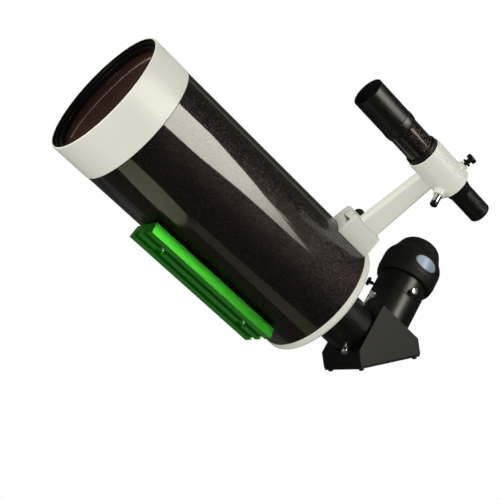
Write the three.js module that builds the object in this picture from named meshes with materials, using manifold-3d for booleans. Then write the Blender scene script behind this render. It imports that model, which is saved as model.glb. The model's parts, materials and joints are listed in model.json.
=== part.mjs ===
// A 127 mm Maksutov telescope: optical tube with dovetail bar, tilting finder, star diagonal and eyepiece.
// Millimetres, +Z up. The origin is the middle of the dovetail bar's flat foot. +Y runs from the open
// front to the eyepiece end, and the eyepiece points up.
//
// Inside the group opticalAxis, y is the distance behind the front rim and x = z = 0 is the light path.
// Turned pieces are profiles of [radius, y] points revolved about their group's Y axis.
import * as THREE from "three";
import { mergeVertices } from "three/addons/utils/BufferGeometryUtils.js";
import Module from "manifold-3d";

const wasm = await Module();
wasm.setup();

// Driving dimensions
const GAP = 0.3; // clearance between neighbouring pieces
const LENGTH = 327.5; // front rim to the back of the rear cell
const CELL_R = 73;
const TUBE_R = 72;
const TUBE_WALL = 1.5;
const BORE_R = TUBE_R - TUBE_WALL;
const FRONT_CELL_LENGTH = 45;
const REAR_CELL_LENGTH = 9.5;
const LENS_R = 67.2;
const CLEAR_R = 63.5; // clear aperture: 127 mm across
const SEAT_Y = 21.2; // the step that the corrector rests on
const LIP_DEPTH = 2.6; // from the front rim to the retaining ring's bore
const BAFFLE_R = 14.5;
const MIRROR_Y = 262; // rim of the primary mirror's polished face
const MIRROR_R = 64;
const MIRROR_THICK = 16;
const FOCUS_TRAVEL = 10; // of the mirror, each way
const FOCUS_R = 47; // focus shaft's distance from the light path

const BAR_LENGTH = 174;
const BAR_MIDDLE_Y = 201.5; // behind the front rim
const BAR_WIDE = 44;
const BAR_THICK = 13;
const BAR_FLANK = 15; // degrees
const BAR_SCREW_OFFSET = 60; // each side of the bar's middle
const AXIS_HEIGHT = 86.5; // light path above the bar's foot

const PORT_R = 29.5; // visual back
const PORT_END_Y = 381;
const NOSE_R = 25.4; // two-inch nosepiece
const FOLD_Y = 417; // where the light path turns up to the eyepiece
const PRISM_HALF = 31; // half of each open side of the diagonal's body
const PRISM_CUT = 12.4; // the corners cut off at 45 degrees
const PRISM_WIDTH = 64.6;
const PLATE_THICK = 2;
const COVER_THICK = 3;
const HOLDER_R = 28.7;
const HOLDER_TOP = 64.4;
const COLLAR_TOP = 86.5;

const FINDER_TURN = 45; // degrees from straight up, towards +X
const FINDER_RADIUS = 189.25; // finder's axis from the light path
const FINDER_TUBE_R = 16.1;
const FINDER_WAIST_R = 15.3;
const RING_FRONT_Y = 271.5;
const RING_END_Y = 323;
const RING_R = 19.3;
const RING_BORE_R = 18;
const ADJUST_Y = 313; // adjusting screws and plunger
const STALK_Y = 298;
const SHOE_FRONT_Y = 273.5;
const SHOE_LENGTH = 42.5;
const SHOE_SIDE = 15; // the shoe's side that is flush with the finder's stalk
const SHOE_WALL_TOP = 95.5; // of that side, from the light path
const SHOE_LOW_TOP = 92.5; // of the side with the thumbscrew
const COLLIMATION_TURNS = [90, 210, 330]; // degrees from straight up
const FINE = 30; // sides of a round piece, by its size
const MEDIUM = 20;
const SMALL = 8;

// One material per finish
function finish(color, roughness, metalness) {
  return new THREE.MeshStandardMaterial({ color, roughness, metalness });
}

const white = finish(0xdfe0d0, 0.35, 0);
const sparkle = finish(0x1a120e, 0.2, 0.3);
const black = finish(0x141414, 0.4, 0.4);
const matteBlack = finish(0x0c0c0c, 0.8, 0);
const darkGrey = finish(0x33332f, 0.5, 0.3);
const green = finish(0x35b82b, 0.3, 0.8);
const chrome = finish(0xc8c8c8, 0.15, 1);
const brass = finish(0xb08d4a, 0.3, 1);
const aluminium = finish(0xb4b6b8, 0.4, 1);
const rubber = finish(0x161616, 0.85, 0);
const mirror = finish(0xdfe6ea, 0.03, 1);
const glass = finish(0x8f8fa8, 0.05, 0);
glass.transparent = true;
glass.opacity = 0.35;

// ---- Shape helpers ----

const rad = THREE.MathUtils.degToRad;

// A profile of [radius, y] points revolved about Y. It closes on itself unless it ends on the axis.
function turned(profile, segments) {
  const next = (i) => profile[(i + 1) % profile.length];
  const area = profile.reduce((sum, [r, y], i) => sum + r * next(i)[1] - next(i)[0] * y, 0);
  const points = profile.map(([r, y]) => new THREE.Vector2(r, y));
  if (area < 0) points.reverse();
  if (points[0].x > 0 || points.at(-1).x > 0) points.push(points[0].clone());
  return new THREE.LatheGeometry(points, segments);
}

// A plain ring from y0 to y1.
function ring(inner, outer, y0, y1, segments) {
  return turned([[inner, y0], [outer, y0], [outer, y1], [inner, y1]], segments);
}

// A plain rod from y0 to y1.
function rod(radius, y0, y1, segments) {
  return turned([[0, y0], [radius, y0], [radius, y1], [0, y1]], segments);
}

// Points of a spherical lens face from radius r0 to r1. bulge is the apex's offset from the face's rim.
function lensFace(rimY, rimR, bulge, r0, r1, steps) {
  const sphere = (rimR ** 2 + bulge ** 2) / (2 * Math.abs(bulge));
  const rimDrop = Math.sqrt(sphere ** 2 - rimR ** 2);
  return Array.from({ length: steps + 1 }, (_, i) => {
    const r = r0 + ((r1 - r0) * i) / steps;
    return [r, rimY + Math.sign(bulge) * (Math.sqrt(sphere ** 2 - r ** 2) - rimDrop)];
  });
}

// An outline of [x, y] points pushed out along +Z.
function pushed(outline, depth) {
  const shape = new THREE.Shape(outline.map(([x, y]) => new THREE.Vector2(x, y)));
  return new THREE.ExtrudeGeometry(shape, { depth, bevelEnabled: false });
}

function box(width, depth, height, x, y, z) {
  return new THREE.BoxGeometry(width, depth, height).translate(x, y, z);
}

function solidOf(geometry) {
  const bare = geometry.index ? geometry.toNonIndexed() : geometry.clone();
  bare.deleteAttribute("normal");
  bare.deleteAttribute("uv");
  const merged = mergeVertices(bare, 1e-4);
  const vertProperties = merged.attributes.position.array;
  const triVerts = new Uint32Array(merged.index.array);
  return new wasm.Manifold(new wasm.Mesh({ numProp: 3, vertProperties, triVerts }));
}

function geometryOf(solid) {
  const { vertProperties, triVerts } = solid.getMesh();
  const geometry = new THREE.BufferGeometry();
  geometry.setAttribute("position", new THREE.BufferAttribute(vertProperties, 3));
  geometry.setIndex(new THREE.BufferAttribute(triVerts, 1));
  geometry.computeVertexNormals();
  return geometry;
}

function joined(...geometries) {
  return geometryOf(geometries.map(solidOf).reduce((whole, piece) => whole.add(piece)));
}

function cut(geometry, ...tools) {
  return geometryOf(tools.map(solidOf).reduce((rest, tool) => rest.subtract(tool), solidOf(geometry)));
}

// A geometry made along +Y, stood up so that it points out at an angle from the +Z direction of its group.
function pointedOut(geometry, along, angle) {
  return geometry.rotateX(Math.PI / 2).rotateY(rad(angle)).translate(0, along, 0);
}

// ---- Scene helpers ----

function group(parent, x = 0, y = 0, z = 0) {
  const made = new THREE.Group();
  made.position.set(x, y, z);
  parent.add(made);
  return made;
}

function add(parent, name, geometry, material) {
  const mesh = new THREE.Mesh(geometry, material);
  mesh.name = name;
  parent.add(mesh);
  return mesh;
}

// A group whose +Y points out from the parent's Y axis, at an angle from +Z towards +X.
function outward(parent, along, angle) {
  const turn = group(parent, 0, along, 0);
  turn.rotation.y = rad(angle);
  const stand = group(turn);
  stand.rotation.x = Math.PI / 2;
  return stand;
}

// A thumbscrew along +Y: a shank from its tip to the seat, a neck, and a head.
function thumbscrew({ shankR, tip, seat, neckR, neckTop, headR, headTop }) {
  const profile = [
    [0, tip],
    [shankR, tip],
    [shankR, seat],
    [neckR, seat],
    [neckR, neckTop],
    [headR, neckTop + 0.6],
    [headR, headTop - 0.8],
    [headR - 0.8, headTop],
    [0, headTop],
  ];
  return turned(profile, SMALL);
}

const telescope = new THREE.Group();
const opticalAxis = group(telescope, 0, -BAR_MIDDLE_Y, AXIS_HEIGHT);

// ---- Optical tube ----

function screwHolesUnderTube(radius) {
  return [-1, 1].map((side) => {
    const hole = rod(radius, BORE_R - 4, TUBE_R + 2, SMALL);
    return pointedOut(hole, BAR_MIDDLE_Y + side * BAR_SCREW_OFFSET, 180);
  });
}

function makeTube() {
  const front = FRONT_CELL_LENGTH + GAP;
  const rear = LENGTH - REAR_CELL_LENGTH - GAP;
  const shell = ring(BORE_R, TUBE_R, front, rear, FINE);
  const shoeHole = pointedOut(rod(2.6, BORE_R - 4, TUBE_R + 2, SMALL), STALK_Y, FINDER_TURN);
  add(opticalAxis, "tube", cut(shell, ...screwHolesUnderTube(3), shoeHole), sparkle);
}

function makeFrontCell() {
  const spigotR = BORE_R - 0.4;
  const profile = [
    [CELL_R - 1.8, 0],
    [CELL_R - 0.6, 0],
    [CELL_R, 0.8],
    [CELL_R, FRONT_CELL_LENGTH],
    [spigotR, FRONT_CELL_LENGTH],
    [spigotR, FRONT_CELL_LENGTH + 12],
    [CLEAR_R + 3.5, FRONT_CELL_LENGTH + 12],
    [CLEAR_R + 3.5, SEAT_Y + 4],
    [CLEAR_R - 1, SEAT_Y + 3],
    [CLEAR_R - 1, SEAT_Y],
    [LENS_R + 0.4, SEAT_Y],
    [LENS_R + 0.4, LIP_DEPTH],
    [CELL_R - 1.8, LIP_DEPTH],
  ];
  add(opticalAxis, "front_cell", turned(profile, FINE), white);
}

function makeCorrector() {
  const edgeFront = SEAT_Y - GAP - 10;
  const edgeRear = SEAT_Y - GAP;
  const faces = [
    ...lensFace(edgeFront, CLEAR_R, 11.3, 0, CLEAR_R, 4),
    [LENS_R, edgeFront],
    [LENS_R, edgeRear],
    ...lensFace(edgeRear, CLEAR_R - 1.2, 11, 0, CLEAR_R - 1.2, 4).reverse(),
  ];
  add(opticalAxis, "corrector_lens", turned(faces, FINE), glass);
  const retainer = ring(CLEAR_R, LENS_R, 5.5, edgeFront - GAP, FINE);
  add(opticalAxis, "corrector_retaining_ring", retainer, matteBlack);
}

function makeSecondaryBaffle() {
  // The cone's front edge follows the back of the corrector, whose apex is 11 mm behind its edge.
  const frontR = 19;
  const front = SEAT_Y + 11.2;
  const taper = 3.5;
  const wall = 1.2;
  const rear = front + 28;
  const profile = [
    [frontR - wall, front],
    [frontR, front],
    [frontR - taper, rear],
    [frontR - taper - wall, rear],
  ];
  add(opticalAxis, "secondary_baffle", turned(profile, MEDIUM), matteBlack);
}

function makeRearCell() {
  const flange = LENGTH - REAR_CELL_LENGTH;
  const spigotR = BORE_R - 0.4;
  const profile = [
    [22, LENGTH],
    [69.5, LENGTH],
    [71.8, LENGTH - 1],
    [CELL_R, LENGTH - 3.2],
    [CELL_R, flange],
    [spigotR, flange],
    [spigotR, flange - 12],
    [spigotR - 3, flange - 12],
    [spigotR - 3, LENGTH - 8],
    [22, LENGTH - 8],
  ];
  const bushingHole = rod(5.4, LENGTH - 10, LENGTH + 2, SMALL).translate(-FOCUS_R, 0, 0);
  const collimationHoles = COLLIMATION_TURNS.map((turn) => {
    const hole = rod(2.4, LENGTH - 10, LENGTH + 2, SMALL);
    return hole.translate(0, 0, 55).rotateY(rad(turn));
  });
  add(opticalAxis, "rear_cell", cut(turned(profile, FINE), bushingHole, ...collimationHoles), white);
}

function makeCollimationScrews() {
  const profile = [
    [0, LENGTH - 12],
    [2, LENGTH - 12],
    [2, LENGTH + GAP],
    [4, LENGTH + GAP],
    [4, LENGTH + 4],
    [1.6, LENGTH + 4],
    [1.6, LENGTH + 2],
    [0, LENGTH + 2],
  ];
  COLLIMATION_TURNS.forEach((turn, i) => {
    const place = group(opticalAxis);
    place.rotation.y = rad(turn);
    const screw = add(place, `collimation_screw_${i + 1}`, turned(profile, SMALL), chrome);
    screw.position.z = 55;
  });
}

function makePrimaryBaffle() {
  const flange = LENGTH - 8 - GAP;
  const profile = [
    [BAFFLE_R - 1.2, 128],
    [BAFFLE_R, 128],
    [BAFFLE_R, flange - 4],
    [30, flange - 4],
    [30, flange],
    [BAFFLE_R - 1.2, flange],
  ];
  add(opticalAxis, "primary_baffle_tube", turned(profile, MEDIUM), matteBlack);
}

function makePrimaryMirror() {
  const rim = MIRROR_Y;
  const holeR = 19;
  const sphereDrop = 5; // the polished face is hollow: lower in the middle than at its rim
  const face = lensFace(rim, MIRROR_R, sphereDrop, holeR, MIRROR_R, 3);
  const back = rim + MIRROR_THICK;
  add(opticalAxis, "primary_mirror", turned([...face, [MIRROR_R, back], [holeR, back]], FINE), mirror);

  const sleeveR = holeR - 0.5;
  const boreR = BAFFLE_R + GAP;
  const carrierProfile = [
    [boreR, rim - 4],
    [sleeveR, rim - 4],
    [sleeveR, back + GAP],
    [58, back + GAP],
    [58, back + 6],
    [sleeveR + 3, back + 6],
    [sleeveR + 3, back + 22],
    [boreR, back + 22],
  ];
  // A boss on the flange is the nut that the focus shaft turns in.
  const boss = rod(8.5, back + 2, back + 23, SMALL).translate(-FOCUS_R, 0, 0);
  const shaftHole = rod(4.6, back - 2, back + 28, SMALL).translate(-FOCUS_R, 0, 0);
  add(opticalAxis, "mirror_carrier", cut(joined(turned(carrierProfile, MEDIUM), boss), shaftHole), aluminium);
  // The ring stands clear of the mirror's hollow face.
  const retainer = ring(sleeveR + GAP, sleeveR + 4, rim - 1, rim + sphereDrop - 1.2, MEDIUM);
  add(opticalAxis, "mirror_retaining_ring", retainer, matteBlack);
}

function makeFocuser() {
  const place = group(opticalAxis, -FOCUS_R, 0, 0);
  const bushing = turned(
    [
      [3.4, LENGTH - 14],
      [5.1, LENGTH - 14],
      [5.1, LENGTH + GAP],
      [8.5, LENGTH + GAP],
      [8.5, LENGTH + 4],
      [3.4, LENGTH + 4],
    ],
    SMALL,
  );
  add(place, "focus_bushing", bushing, brass);
  const tip = MIRROR_Y + MIRROR_THICK + FOCUS_TRAVEL + 2 * GAP;
  const shaft = turned(
    [
      [0, tip],
      [4, tip],
      [4, LENGTH - 16],
      [3, LENGTH - 16],
      [3, LENGTH + 27],
      [0, LENGTH + 27],
    ],
    SMALL,
  );
  add(place, "focus_shaft", shaft, brass);
  const knob = turned(
    [
      [3.3, LENGTH + 5],
      [11, LENGTH + 5],
      [12, LENGTH + 6],
      [12, LENGTH + 25],
      [11, LENGTH + 28],
      [0, LENGTH + 28],
      [0, LENGTH + 27.4],
      [3.3, LENGTH + 27.4],
    ],
    MEDIUM,
  );
  add(place, "focus_knob", knob, rubber);
}

// ---- Visual back ----

function makeVisualBack() {
  const body = turned(
    [
      [19, LENGTH - 6],
      [21.6, LENGTH - 6],
      [21.6, LENGTH + GAP],
      [PORT_R, LENGTH + GAP],
      [PORT_R, PORT_END_Y],
      [NOSE_R + 0.4, PORT_END_Y],
      [NOSE_R + 0.4, LENGTH + 8],
      [19, LENGTH + 8],
    ],
    FINE,
  );
  const screws = { upper: 25, lower: 150 };
  const screwY = 376;
  const holes = Object.values(screws).map((turn) => pointedOut(rod(2.1, NOSE_R - 1, 32, SMALL), screwY, turn));
  add(opticalAxis, "visual_back", cut(body, ...holes), black);
  for (const [side, turn] of Object.entries(screws)) {
    const shape = {
      shankR: 1.7,
      tip: NOSE_R + GAP,
      seat: 33,
      neckR: 2.4,
      neckTop: 38,
      headR: 3.9,
      headTop: 46,
    };
    add(outward(opticalAxis, screwY, turn), `visual_back_screw_${side}`, thumbscrew(shape), chrome);
  }
}

// ---- Dovetail bar ----

function makeDovetailBar() {
  const narrow = BAR_WIDE - 2 * BAR_THICK * Math.tan(rad(BAR_FLANK));
  const grooveDeep = 4.5;
  const rib = 4.5; // half of the rib between the two grooves
  const leg = 12; // inner side of each outer leg
  const half = [
    [rib, 0],
    [rib, grooveDeep],
    [leg, grooveDeep],
    [leg, 0],
    [BAR_WIDE / 2, 0],
    [narrow / 2, BAR_THICK],
  ];
  const outline = [...half, ...half.map(([x, z]) => [-x, z]).reverse()];
  const bar = pushed(outline, BAR_LENGTH).translate(0, 0, -BAR_LENGTH / 2).rotateX(Math.PI / 2);
  const holes = [-1, 1].map((side) => {
    const y = side * BAR_SCREW_OFFSET;
    const through = rod(2.9, -1, BAR_THICK + 1, SMALL).rotateX(Math.PI / 2).translate(0, y, 0);
    const recess = rod(5.2, -1, 8.5, SMALL).rotateX(Math.PI / 2).translate(0, y, 0);
    return joined(through, recess);
  });
  add(telescope, "dovetail_bar", cut(bar, ...holes), green);

  // Cap screws stand head down in the bar's recesses and reach a nut plate inside the tube.
  const screw = turned(
    [[0, 5], [1.8, 5], [1.8, 3], [4.4, 3], [4.4, 8.2], [2.5, 8.2], [2.5, 21], [0, 21]],
    SMALL,
  );
  ["front", "rear"].forEach((end, i) => {
    const place = group(telescope, 0, (2 * i - 1) * BAR_SCREW_OFFSET, 0);
    place.rotation.x = Math.PI / 2;
    add(place, `dovetail_screw_${end}`, screw.clone(), chrome);
  });

  const plate = box(22, 2 * BAR_SCREW_OFFSET + 20, 3, 0, 0, 19.6);
  const plateHoles = [-1, 1].map((side) =>
    rod(2.8, 16, 23, SMALL).rotateX(Math.PI / 2).translate(0, side * BAR_SCREW_OFFSET, 0),
  );
  add(telescope, "dovetail_nut_plate", cut(plate, ...plateHoles), aluminium);
}

// ---- Finder ----
// finderTurn's z is the distance from the light path in the finder's direction.

const finderTurn = group(opticalAxis);
finderTurn.rotation.y = rad(FINDER_TURN);
const finderAxis = group(finderTurn, 0, 0, FINDER_RADIUS);

function makeFinderShoe() {
  const outline = [
    [-19, TUBE_R - 6],
    [SHOE_SIDE, TUBE_R - 6],
    [SHOE_SIDE, SHOE_WALL_TOP],
    [8.7, SHOE_WALL_TOP],
    [8.7, 88.5],
    [10.9, 82.5],
    [-10.9, 82.5],
    [-8.7, 88.5],
    [-8.7, SHOE_LOW_TOP],
    [-14, SHOE_LOW_TOP],
    [-17.5, 90],
    [-19, 84],
  ];
  // Pushed along +Z and laid down, the outline's y becomes z and its depth runs forwards from the rear.
  const rear = SHOE_FRONT_Y + SHOE_LENGTH;
  const block = pushed(outline, SHOE_LENGTH).rotateX(Math.PI / 2).translate(0, rear, 0);
  const tubeSpace = rod(TUBE_R + GAP, 0, LENGTH, FINE);
  const thumbHole = pointedOut(rod(2.2, 6, 22, SMALL), 293.5, -90).translate(0, 0, 90);
  const fixing = pointedOut(rod(2.6, 60, 85, SMALL), STALK_Y, 0);
  const recess = pointedOut(rod(5, 76.4, 85, SMALL), STALK_Y, 0);
  // Stood on its side, the wedge's x runs backwards and its y up.
  const wedge = pushed([[rear, 77], [rear + 3, 77], [rear + 3, 98], [rear - 4.8, 98]], 50);
  wedge.rotateX(Math.PI / 2).rotateZ(Math.PI / 2).translate(-25, 0, 0);
  const body = cut(block, tubeSpace, thumbHole, fixing, recess, wedge);
  add(finderTurn, "finder_shoe", body, white);

  const screw = turned([[0, 66], [2.2, 66], [2.2, 76.6], [4.4, 76.6], [4.4, 78.6], [0, 78.6]], SMALL);
  add(outward(finderTurn, STALK_Y, 0), "finder_shoe_screw", screw, chrome);

  const place = group(finderTurn, 0, 293.5, 90);
  const knob = { shankR: 1.9, tip: 9, seat: 19.5, neckR: 3.2, neckTop: 20.6, headR: 6.5, headTop: 27 };
  add(outward(place, 0, -90), "finder_shoe_thumbscrew", thumbscrew(knob), darkGrey);
}

// A prism along +Z whose outline changes evenly from low to high.
function lofted(low, high, height) {
  const prism = pushed(low, height);
  const position = prism.attributes.position;
  for (let i = 0; i < position.count; i++) {
    if (position.getZ(i) < height / 2) continue;
    const at = low.findIndex(([x, y]) => Math.hypot(x - position.getX(i), y - position.getY(i)) < 1e-3);
    position.setXY(i, high[at][0], high[at][1]);
  }
  return prism;
}

// The stalk leans from one side of the shoe to the middle of the finder, and narrows as it rises.
function makeStalk() {
  const section = (side, front, rear) => [
    [side - 3, front],
    [side, front + 3],
    [side, rear - 2],
    [side - 2, rear],
    [side - 10, rear],
    [side - 12, rear - 2],
    [side - 12, front + 3],
    [side - 9, front],
  ];
  const low = 90;
  const stalk = lofted(section(SHOE_SIDE, 279.8, 307.2), section(6, 286.5, 308.5), 172 - low);
  const wallSpace = box(20, 60, 20, 18.4, 295, SHOE_WALL_TOP + GAP - 10);
  return cut(stalk.translate(0, 0, low), wallSpace).translate(0, 0, -FINDER_RADIUS);
}

// A ring on a stalk, whose foot slides into the shoe.
function makeFinderBracket() {
  const shell = turned(
    [
      [RING_BORE_R, RING_FRONT_Y],
      [RING_R, RING_FRONT_Y],
      [RING_R, RING_END_Y],
      [RING_BORE_R, RING_END_Y],
    ],
    MEDIUM,
  );
  const bosses = [[0, 5.2, 22.6], [-90, 5.2, 22.6], [135, 6.2, 24]].map(([turn, radius, top]) =>
    pointedOut(rod(radius, 15, top, SMALL), ADJUST_Y, turn),
  );
  const footOutline = [[-10.5, 83], [10.5, 83], [8.4, 88.7], [8.4, SHOE_LOW_TOP], [-8.4, SHOE_LOW_TOP], [-8.4, 88.7]];
  const footLength = 36;
  const foot = pushed(footOutline, footLength).rotateX(Math.PI / 2);
  foot.translate(0, SHOE_FRONT_Y + 1 + footLength, -FINDER_RADIUS);
  const pocket = pushed([[-8, 82.9], [8.9, 88], [11.5, 82.9]], 8).rotateX(Math.PI / 2);
  pocket.translate(0, SHOE_FRONT_Y + 8, -FINDER_RADIUS);
  const bore = rod(RING_BORE_R, RING_FRONT_Y - 1, RING_END_Y + 1, MEDIUM);
  const screwHoles = [0, -90].map((turn) => pointedOut(rod(2.3, 15, 24, SMALL), ADJUST_Y, turn));
  const plungerHole = pointedOut(rod(4.4, 15, 26, SMALL), ADJUST_Y, 135);
  const body = joined(shell, ...bosses, makeStalk(), cut(foot, pocket));
  add(finderAxis, "finder_bracket", cut(body, bore, ...screwHoles, plungerHole), white);
}

function makeAdjustingScrews() {
  const shape = {
    shankR: 2,
    tip: FINDER_WAIST_R + GAP,
    seat: 26,
    neckR: 3.4,
    neckTop: 29,
    headR: 5.6,
    headTop: 34,
  };
  add(outward(finderAxis, ADJUST_Y, 0), "finder_adjust_screw_outer", thumbscrew(shape), black);
  add(outward(finderAxis, ADJUST_Y, -90), "finder_adjust_screw_upper", thumbscrew(shape), black);
}

function makePlunger() {
  const place = outward(finderAxis, ADJUST_Y, 135);
  const housing = turned(
    [
      [2.3, RING_BORE_R + 0.2],
      [4.1, RING_BORE_R + 0.2],
      [4.1, 36],
      [3.2, 37.5],
      [0, 37.5],
      [0, 35.5],
      [3.2, 35.5],
      [3.2, 22],
      [2.3, 22],
    ],
    SMALL,
  );
  add(place, "plunger_housing", housing, chrome);
  const tip = FINDER_WAIST_R + 2.1; // the pin stands back by the finder's whole tilt
  const pin = turned(
    [
      [0, tip],
      [1.5, tip],
      [1.9, tip + 0.6],
      [1.9, 22.4],
      [2.8, 22.4],
      [2.8, 24.4],
      [0, 24.4],
    ],
    SMALL,
  );
  add(place, "plunger_pin", pin, chrome);
  class Helix extends THREE.Curve {
    getPoint(t) {
      const turns = 5;
      const height = 9.4;
      const angle = 2 * Math.PI * turns * t;
      return new THREE.Vector3(2.2 * Math.cos(angle), 25.2 + height * t, 2.2 * Math.sin(angle));
    }
  }
  const wire = new THREE.Shape().absarc(0, 0, 0.35, 0, 2 * Math.PI);
  const options = { steps: 44, curveSegments: 2, bevelEnabled: false, extrudePath: new Helix() };
  add(place, "plunger_spring", new THREE.ExtrudeGeometry(wire, options), chrome);
}

function makeFinderRubberRing() {
  const profile = [
    [FINDER_TUBE_R + GAP, RING_FRONT_Y - 6],
    [17.8, RING_FRONT_Y - 5.4],
    [17.8, RING_FRONT_Y - 0.9],
    [17.2, RING_FRONT_Y - 0.6],
    [17.2, RING_FRONT_Y + 6],
    [FINDER_TUBE_R + GAP, RING_FRONT_Y + 6],
  ];
  add(finderAxis, "finder_rubber_ring", turned(profile, MEDIUM), rubber);
}

function makeFinderBody() {
  const tube = turned(
    [
      [14.6, 226.6],
      [FINDER_TUBE_R, 226.6],
      [FINDER_TUBE_R, 279],
      [FINDER_WAIST_R, 281],
      [FINDER_WAIST_R, 318],
      [14.2, 318],
      [14.2, 281],
      [14.6, 279],
    ],
    MEDIUM,
  );
  add(finderAxis, "finder_tube", tube, sparkle);

  const cell = turned(
    [
      [13.6, 225.6],
      [13.6, 223.6],
      [14.9, 223.6],
      [14.9, 217],
      [15.6, 217],
      [15.6, 224.3],
      [17.5, 224.3],
      [17.6, 232],
      [16.9, 236],
      [16.4, 236],
      [16.4, 225.6],
    ],
    MEDIUM,
  );
  add(finderAxis, "finder_objective_cell", cell, black);

  const shade = ring(15.9, 17.15, 180.5, 224, MEDIUM);
  add(finderAxis, "finder_dew_shade", shade, black);

  const lens = turned(
    [...lensFace(218, 14.6, -1.4, 0, 14.6, 4), ...lensFace(222.4, 14.6, 0.8, 0, 14.6, 4).reverse()],
    MEDIUM,
  );
  add(finderAxis, "finder_objective_lens", lens, glass);

  const arcEnd = [0, 1, 2, 3].map((i) => {
    const turn = (i * Math.PI) / 6;
    return [9.9 + 2 * Math.cos(turn), 368.4 + 2 * Math.sin(turn)];
  });
  const barrel = turned(
    [
      [12.6, 303],
      [13.8, 303],
      [13.8, 318.4],
      [FINDER_WAIST_R, 318.4],
      [FINDER_WAIST_R, 321],
      [12.2, 335],
      [11.9, 336],
      ...arcEnd,
      [8.6, 370.4],
      [8.6, 368.4],
      [10, 368.4],
      [10, 336],
      [12.6, 322],
    ],
    MEDIUM,
  );
  add(finderAxis, "finder_eyepiece_barrel", barrel, black);

  const eyeLens = turned([...lensFace(364.4, 9.7, -1, 0, 9.7, 3), [9.7, 368], [0, 368]], MEDIUM);
  add(finderAxis, "finder_eye_lens", eyeLens, glass);

  const bars = [box(17, 0.5, 0.3, 0, 345, 0), box(0.3, 0.5, 17, 0, 345, 0)];
  const reticle = joined(ring(8.3, 9.7, 344.4, 345.8, MEDIUM), ...bars);
  add(finderAxis, "finder_reticle", reticle, matteBlack);
}

// ---- Star diagonal ----
// diagonal's origin is where the light path turns; its y runs rearwards and its z up to the eyepiece.

const diagonal = group(opticalAxis, 0, FOLD_Y, 0);

// The body's outline in [y, z]: a right triangle with the ends of its long side cut square.
function prismOutline() {
  const half = PRISM_HALF;
  return [
    [-half, half],
    [-half, -half],
    [-half + PRISM_CUT, -half - PRISM_CUT],
    [half + PRISM_CUT, half - PRISM_CUT],
    [half, half],
  ];
}

// An outline of [y, z] points made into a slab centred on x.
function sideways(outline, width, x) {
  const slab = pushed(outline, width).rotateX(Math.PI / 2).rotateZ(Math.PI / 2);
  return slab.translate(x - width / 2, 0, 0);
}

// A box laid along the mirror's slope. depth is measured from the mirror's face, away from the light.
function slopedBox(width, length, depth0, depth1) {
  const slab = box(width, length, depth1 - depth0, 0, 0, -(depth0 + depth1) / 2);
  return slab.rotateX(Math.PI / 4);
}

const coverOuter = (PRISM_CUT * 2) / Math.SQRT2; // depth of the body's long side behind the mirror's face
const coverInner = coverOuter - COVER_THICK;
const coverFace = coverOuter + 2.4; // the cover stands proud of the side plates

function makeDiagonalBody() {
  const width = PRISM_WIDTH - 2 * (PLATE_THICK + GAP);
  const body = sideways(prismOutline(), width, 0);
  const intoNose = rod(23, -PRISM_HALF - 1, 0, MEDIUM);
  const intoHolder = pointedOut(rod(23, 0, PRISM_HALF + 1, MEDIUM), 0, 0);
  const pocket = slopedBox(50, 74, -0.5, 30);
  const coverSpace = slopedBox(PRISM_WIDTH, 140, coverInner - GAP, 40);
  const screwHoles = coverScrewPlaces().map(([x, along]) =>
    rod(1.7, 0, 10, SMALL).rotateX(-Math.PI / 2).translate(x, along, -coverInner + 9).rotateX(Math.PI / 4),
  );
  add(diagonal, "diagonal_body", cut(body, intoNose, intoHolder, pocket, coverSpace, ...screwHoles), black);
}

function coverScrewPlaces() {
  return [[-26, -39.6], [26, -39.6], [-26, 39.6], [26, 39.6]];
}

function makeDiagonalCover() {
  const width = PRISM_WIDTH - 2 * (PLATE_THICK + GAP);
  const length = 2 * PRISM_HALF * Math.SQRT2 + 1.6;
  const plate = slopedBox(width, length, coverInner, coverFace);
  const pad = slopedBox(40, 60, 12.8, coverInner + 0.5);
  const holes = coverScrewPlaces().map(([x, along]) =>
    rod(1.8, 0, 12, SMALL).rotateX(-Math.PI / 2).translate(x, along, -coverInner + 3).rotateX(Math.PI / 4),
  );
  add(diagonal, "diagonal_cover", cut(joined(plate, pad), ...holes), black);
  const screw = turned(
    [
      [0, coverInner - 6],
      [1.4, coverInner - 6],
      [1.4, coverFace + GAP],
      [2.8, coverFace + GAP],
      [2.8, coverFace + 1.6],
      [1.8, coverFace + 2.4],
      [0, coverFace + 2.4],
    ],
    SMALL,
  );
  coverScrewPlaces().forEach(([x, along], i) => {
    const slope = group(diagonal);
    slope.rotation.x = Math.PI / 4;
    const place = group(slope, x, along, 0);
    place.rotation.x = -Math.PI / 2;
    add(place, `cover_screw_${i + 1}`, screw.clone(), black);
  });
}

function makeSidePlates() {
  const x = PRISM_WIDTH / 2 - PLATE_THICK / 2;
  add(diagonal, "diagonal_side_plate_right", sideways(prismOutline(), PLATE_THICK, x), darkGrey);
  add(diagonal, "diagonal_side_plate_left", sideways(prismOutline(), PLATE_THICK, -x), darkGrey);
}

function makeDiagonalMirror() {
  add(diagonal, "diagonal_mirror", slopedBox(48, 70, 0, 12.4), mirror);
}

function makeNosepiece() {
  const end = -PRISM_HALF - GAP;
  const nosepiece = turned(
    [
      [23, -71],
      [NOSE_R - 0.5, -71],
      [NOSE_R, -70.5],
      [NOSE_R, end - 4.4],
      [28.4, end - 4.4],
      [28.4, end],
      [23, end],
    ],
    FINE,
  );
  add(diagonal, "diagonal_nosepiece", nosepiece, chrome);
}

// ---- Eyepiece ----
// column's +Y points up, along the eyepiece's axis.

const column = group(diagonal);
column.rotation.x = Math.PI / 2;

// Angle about the column, measured from the rear towards +X, as the turn that outward() takes.
const columnTurn = (angle) => 180 - angle;

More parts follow.
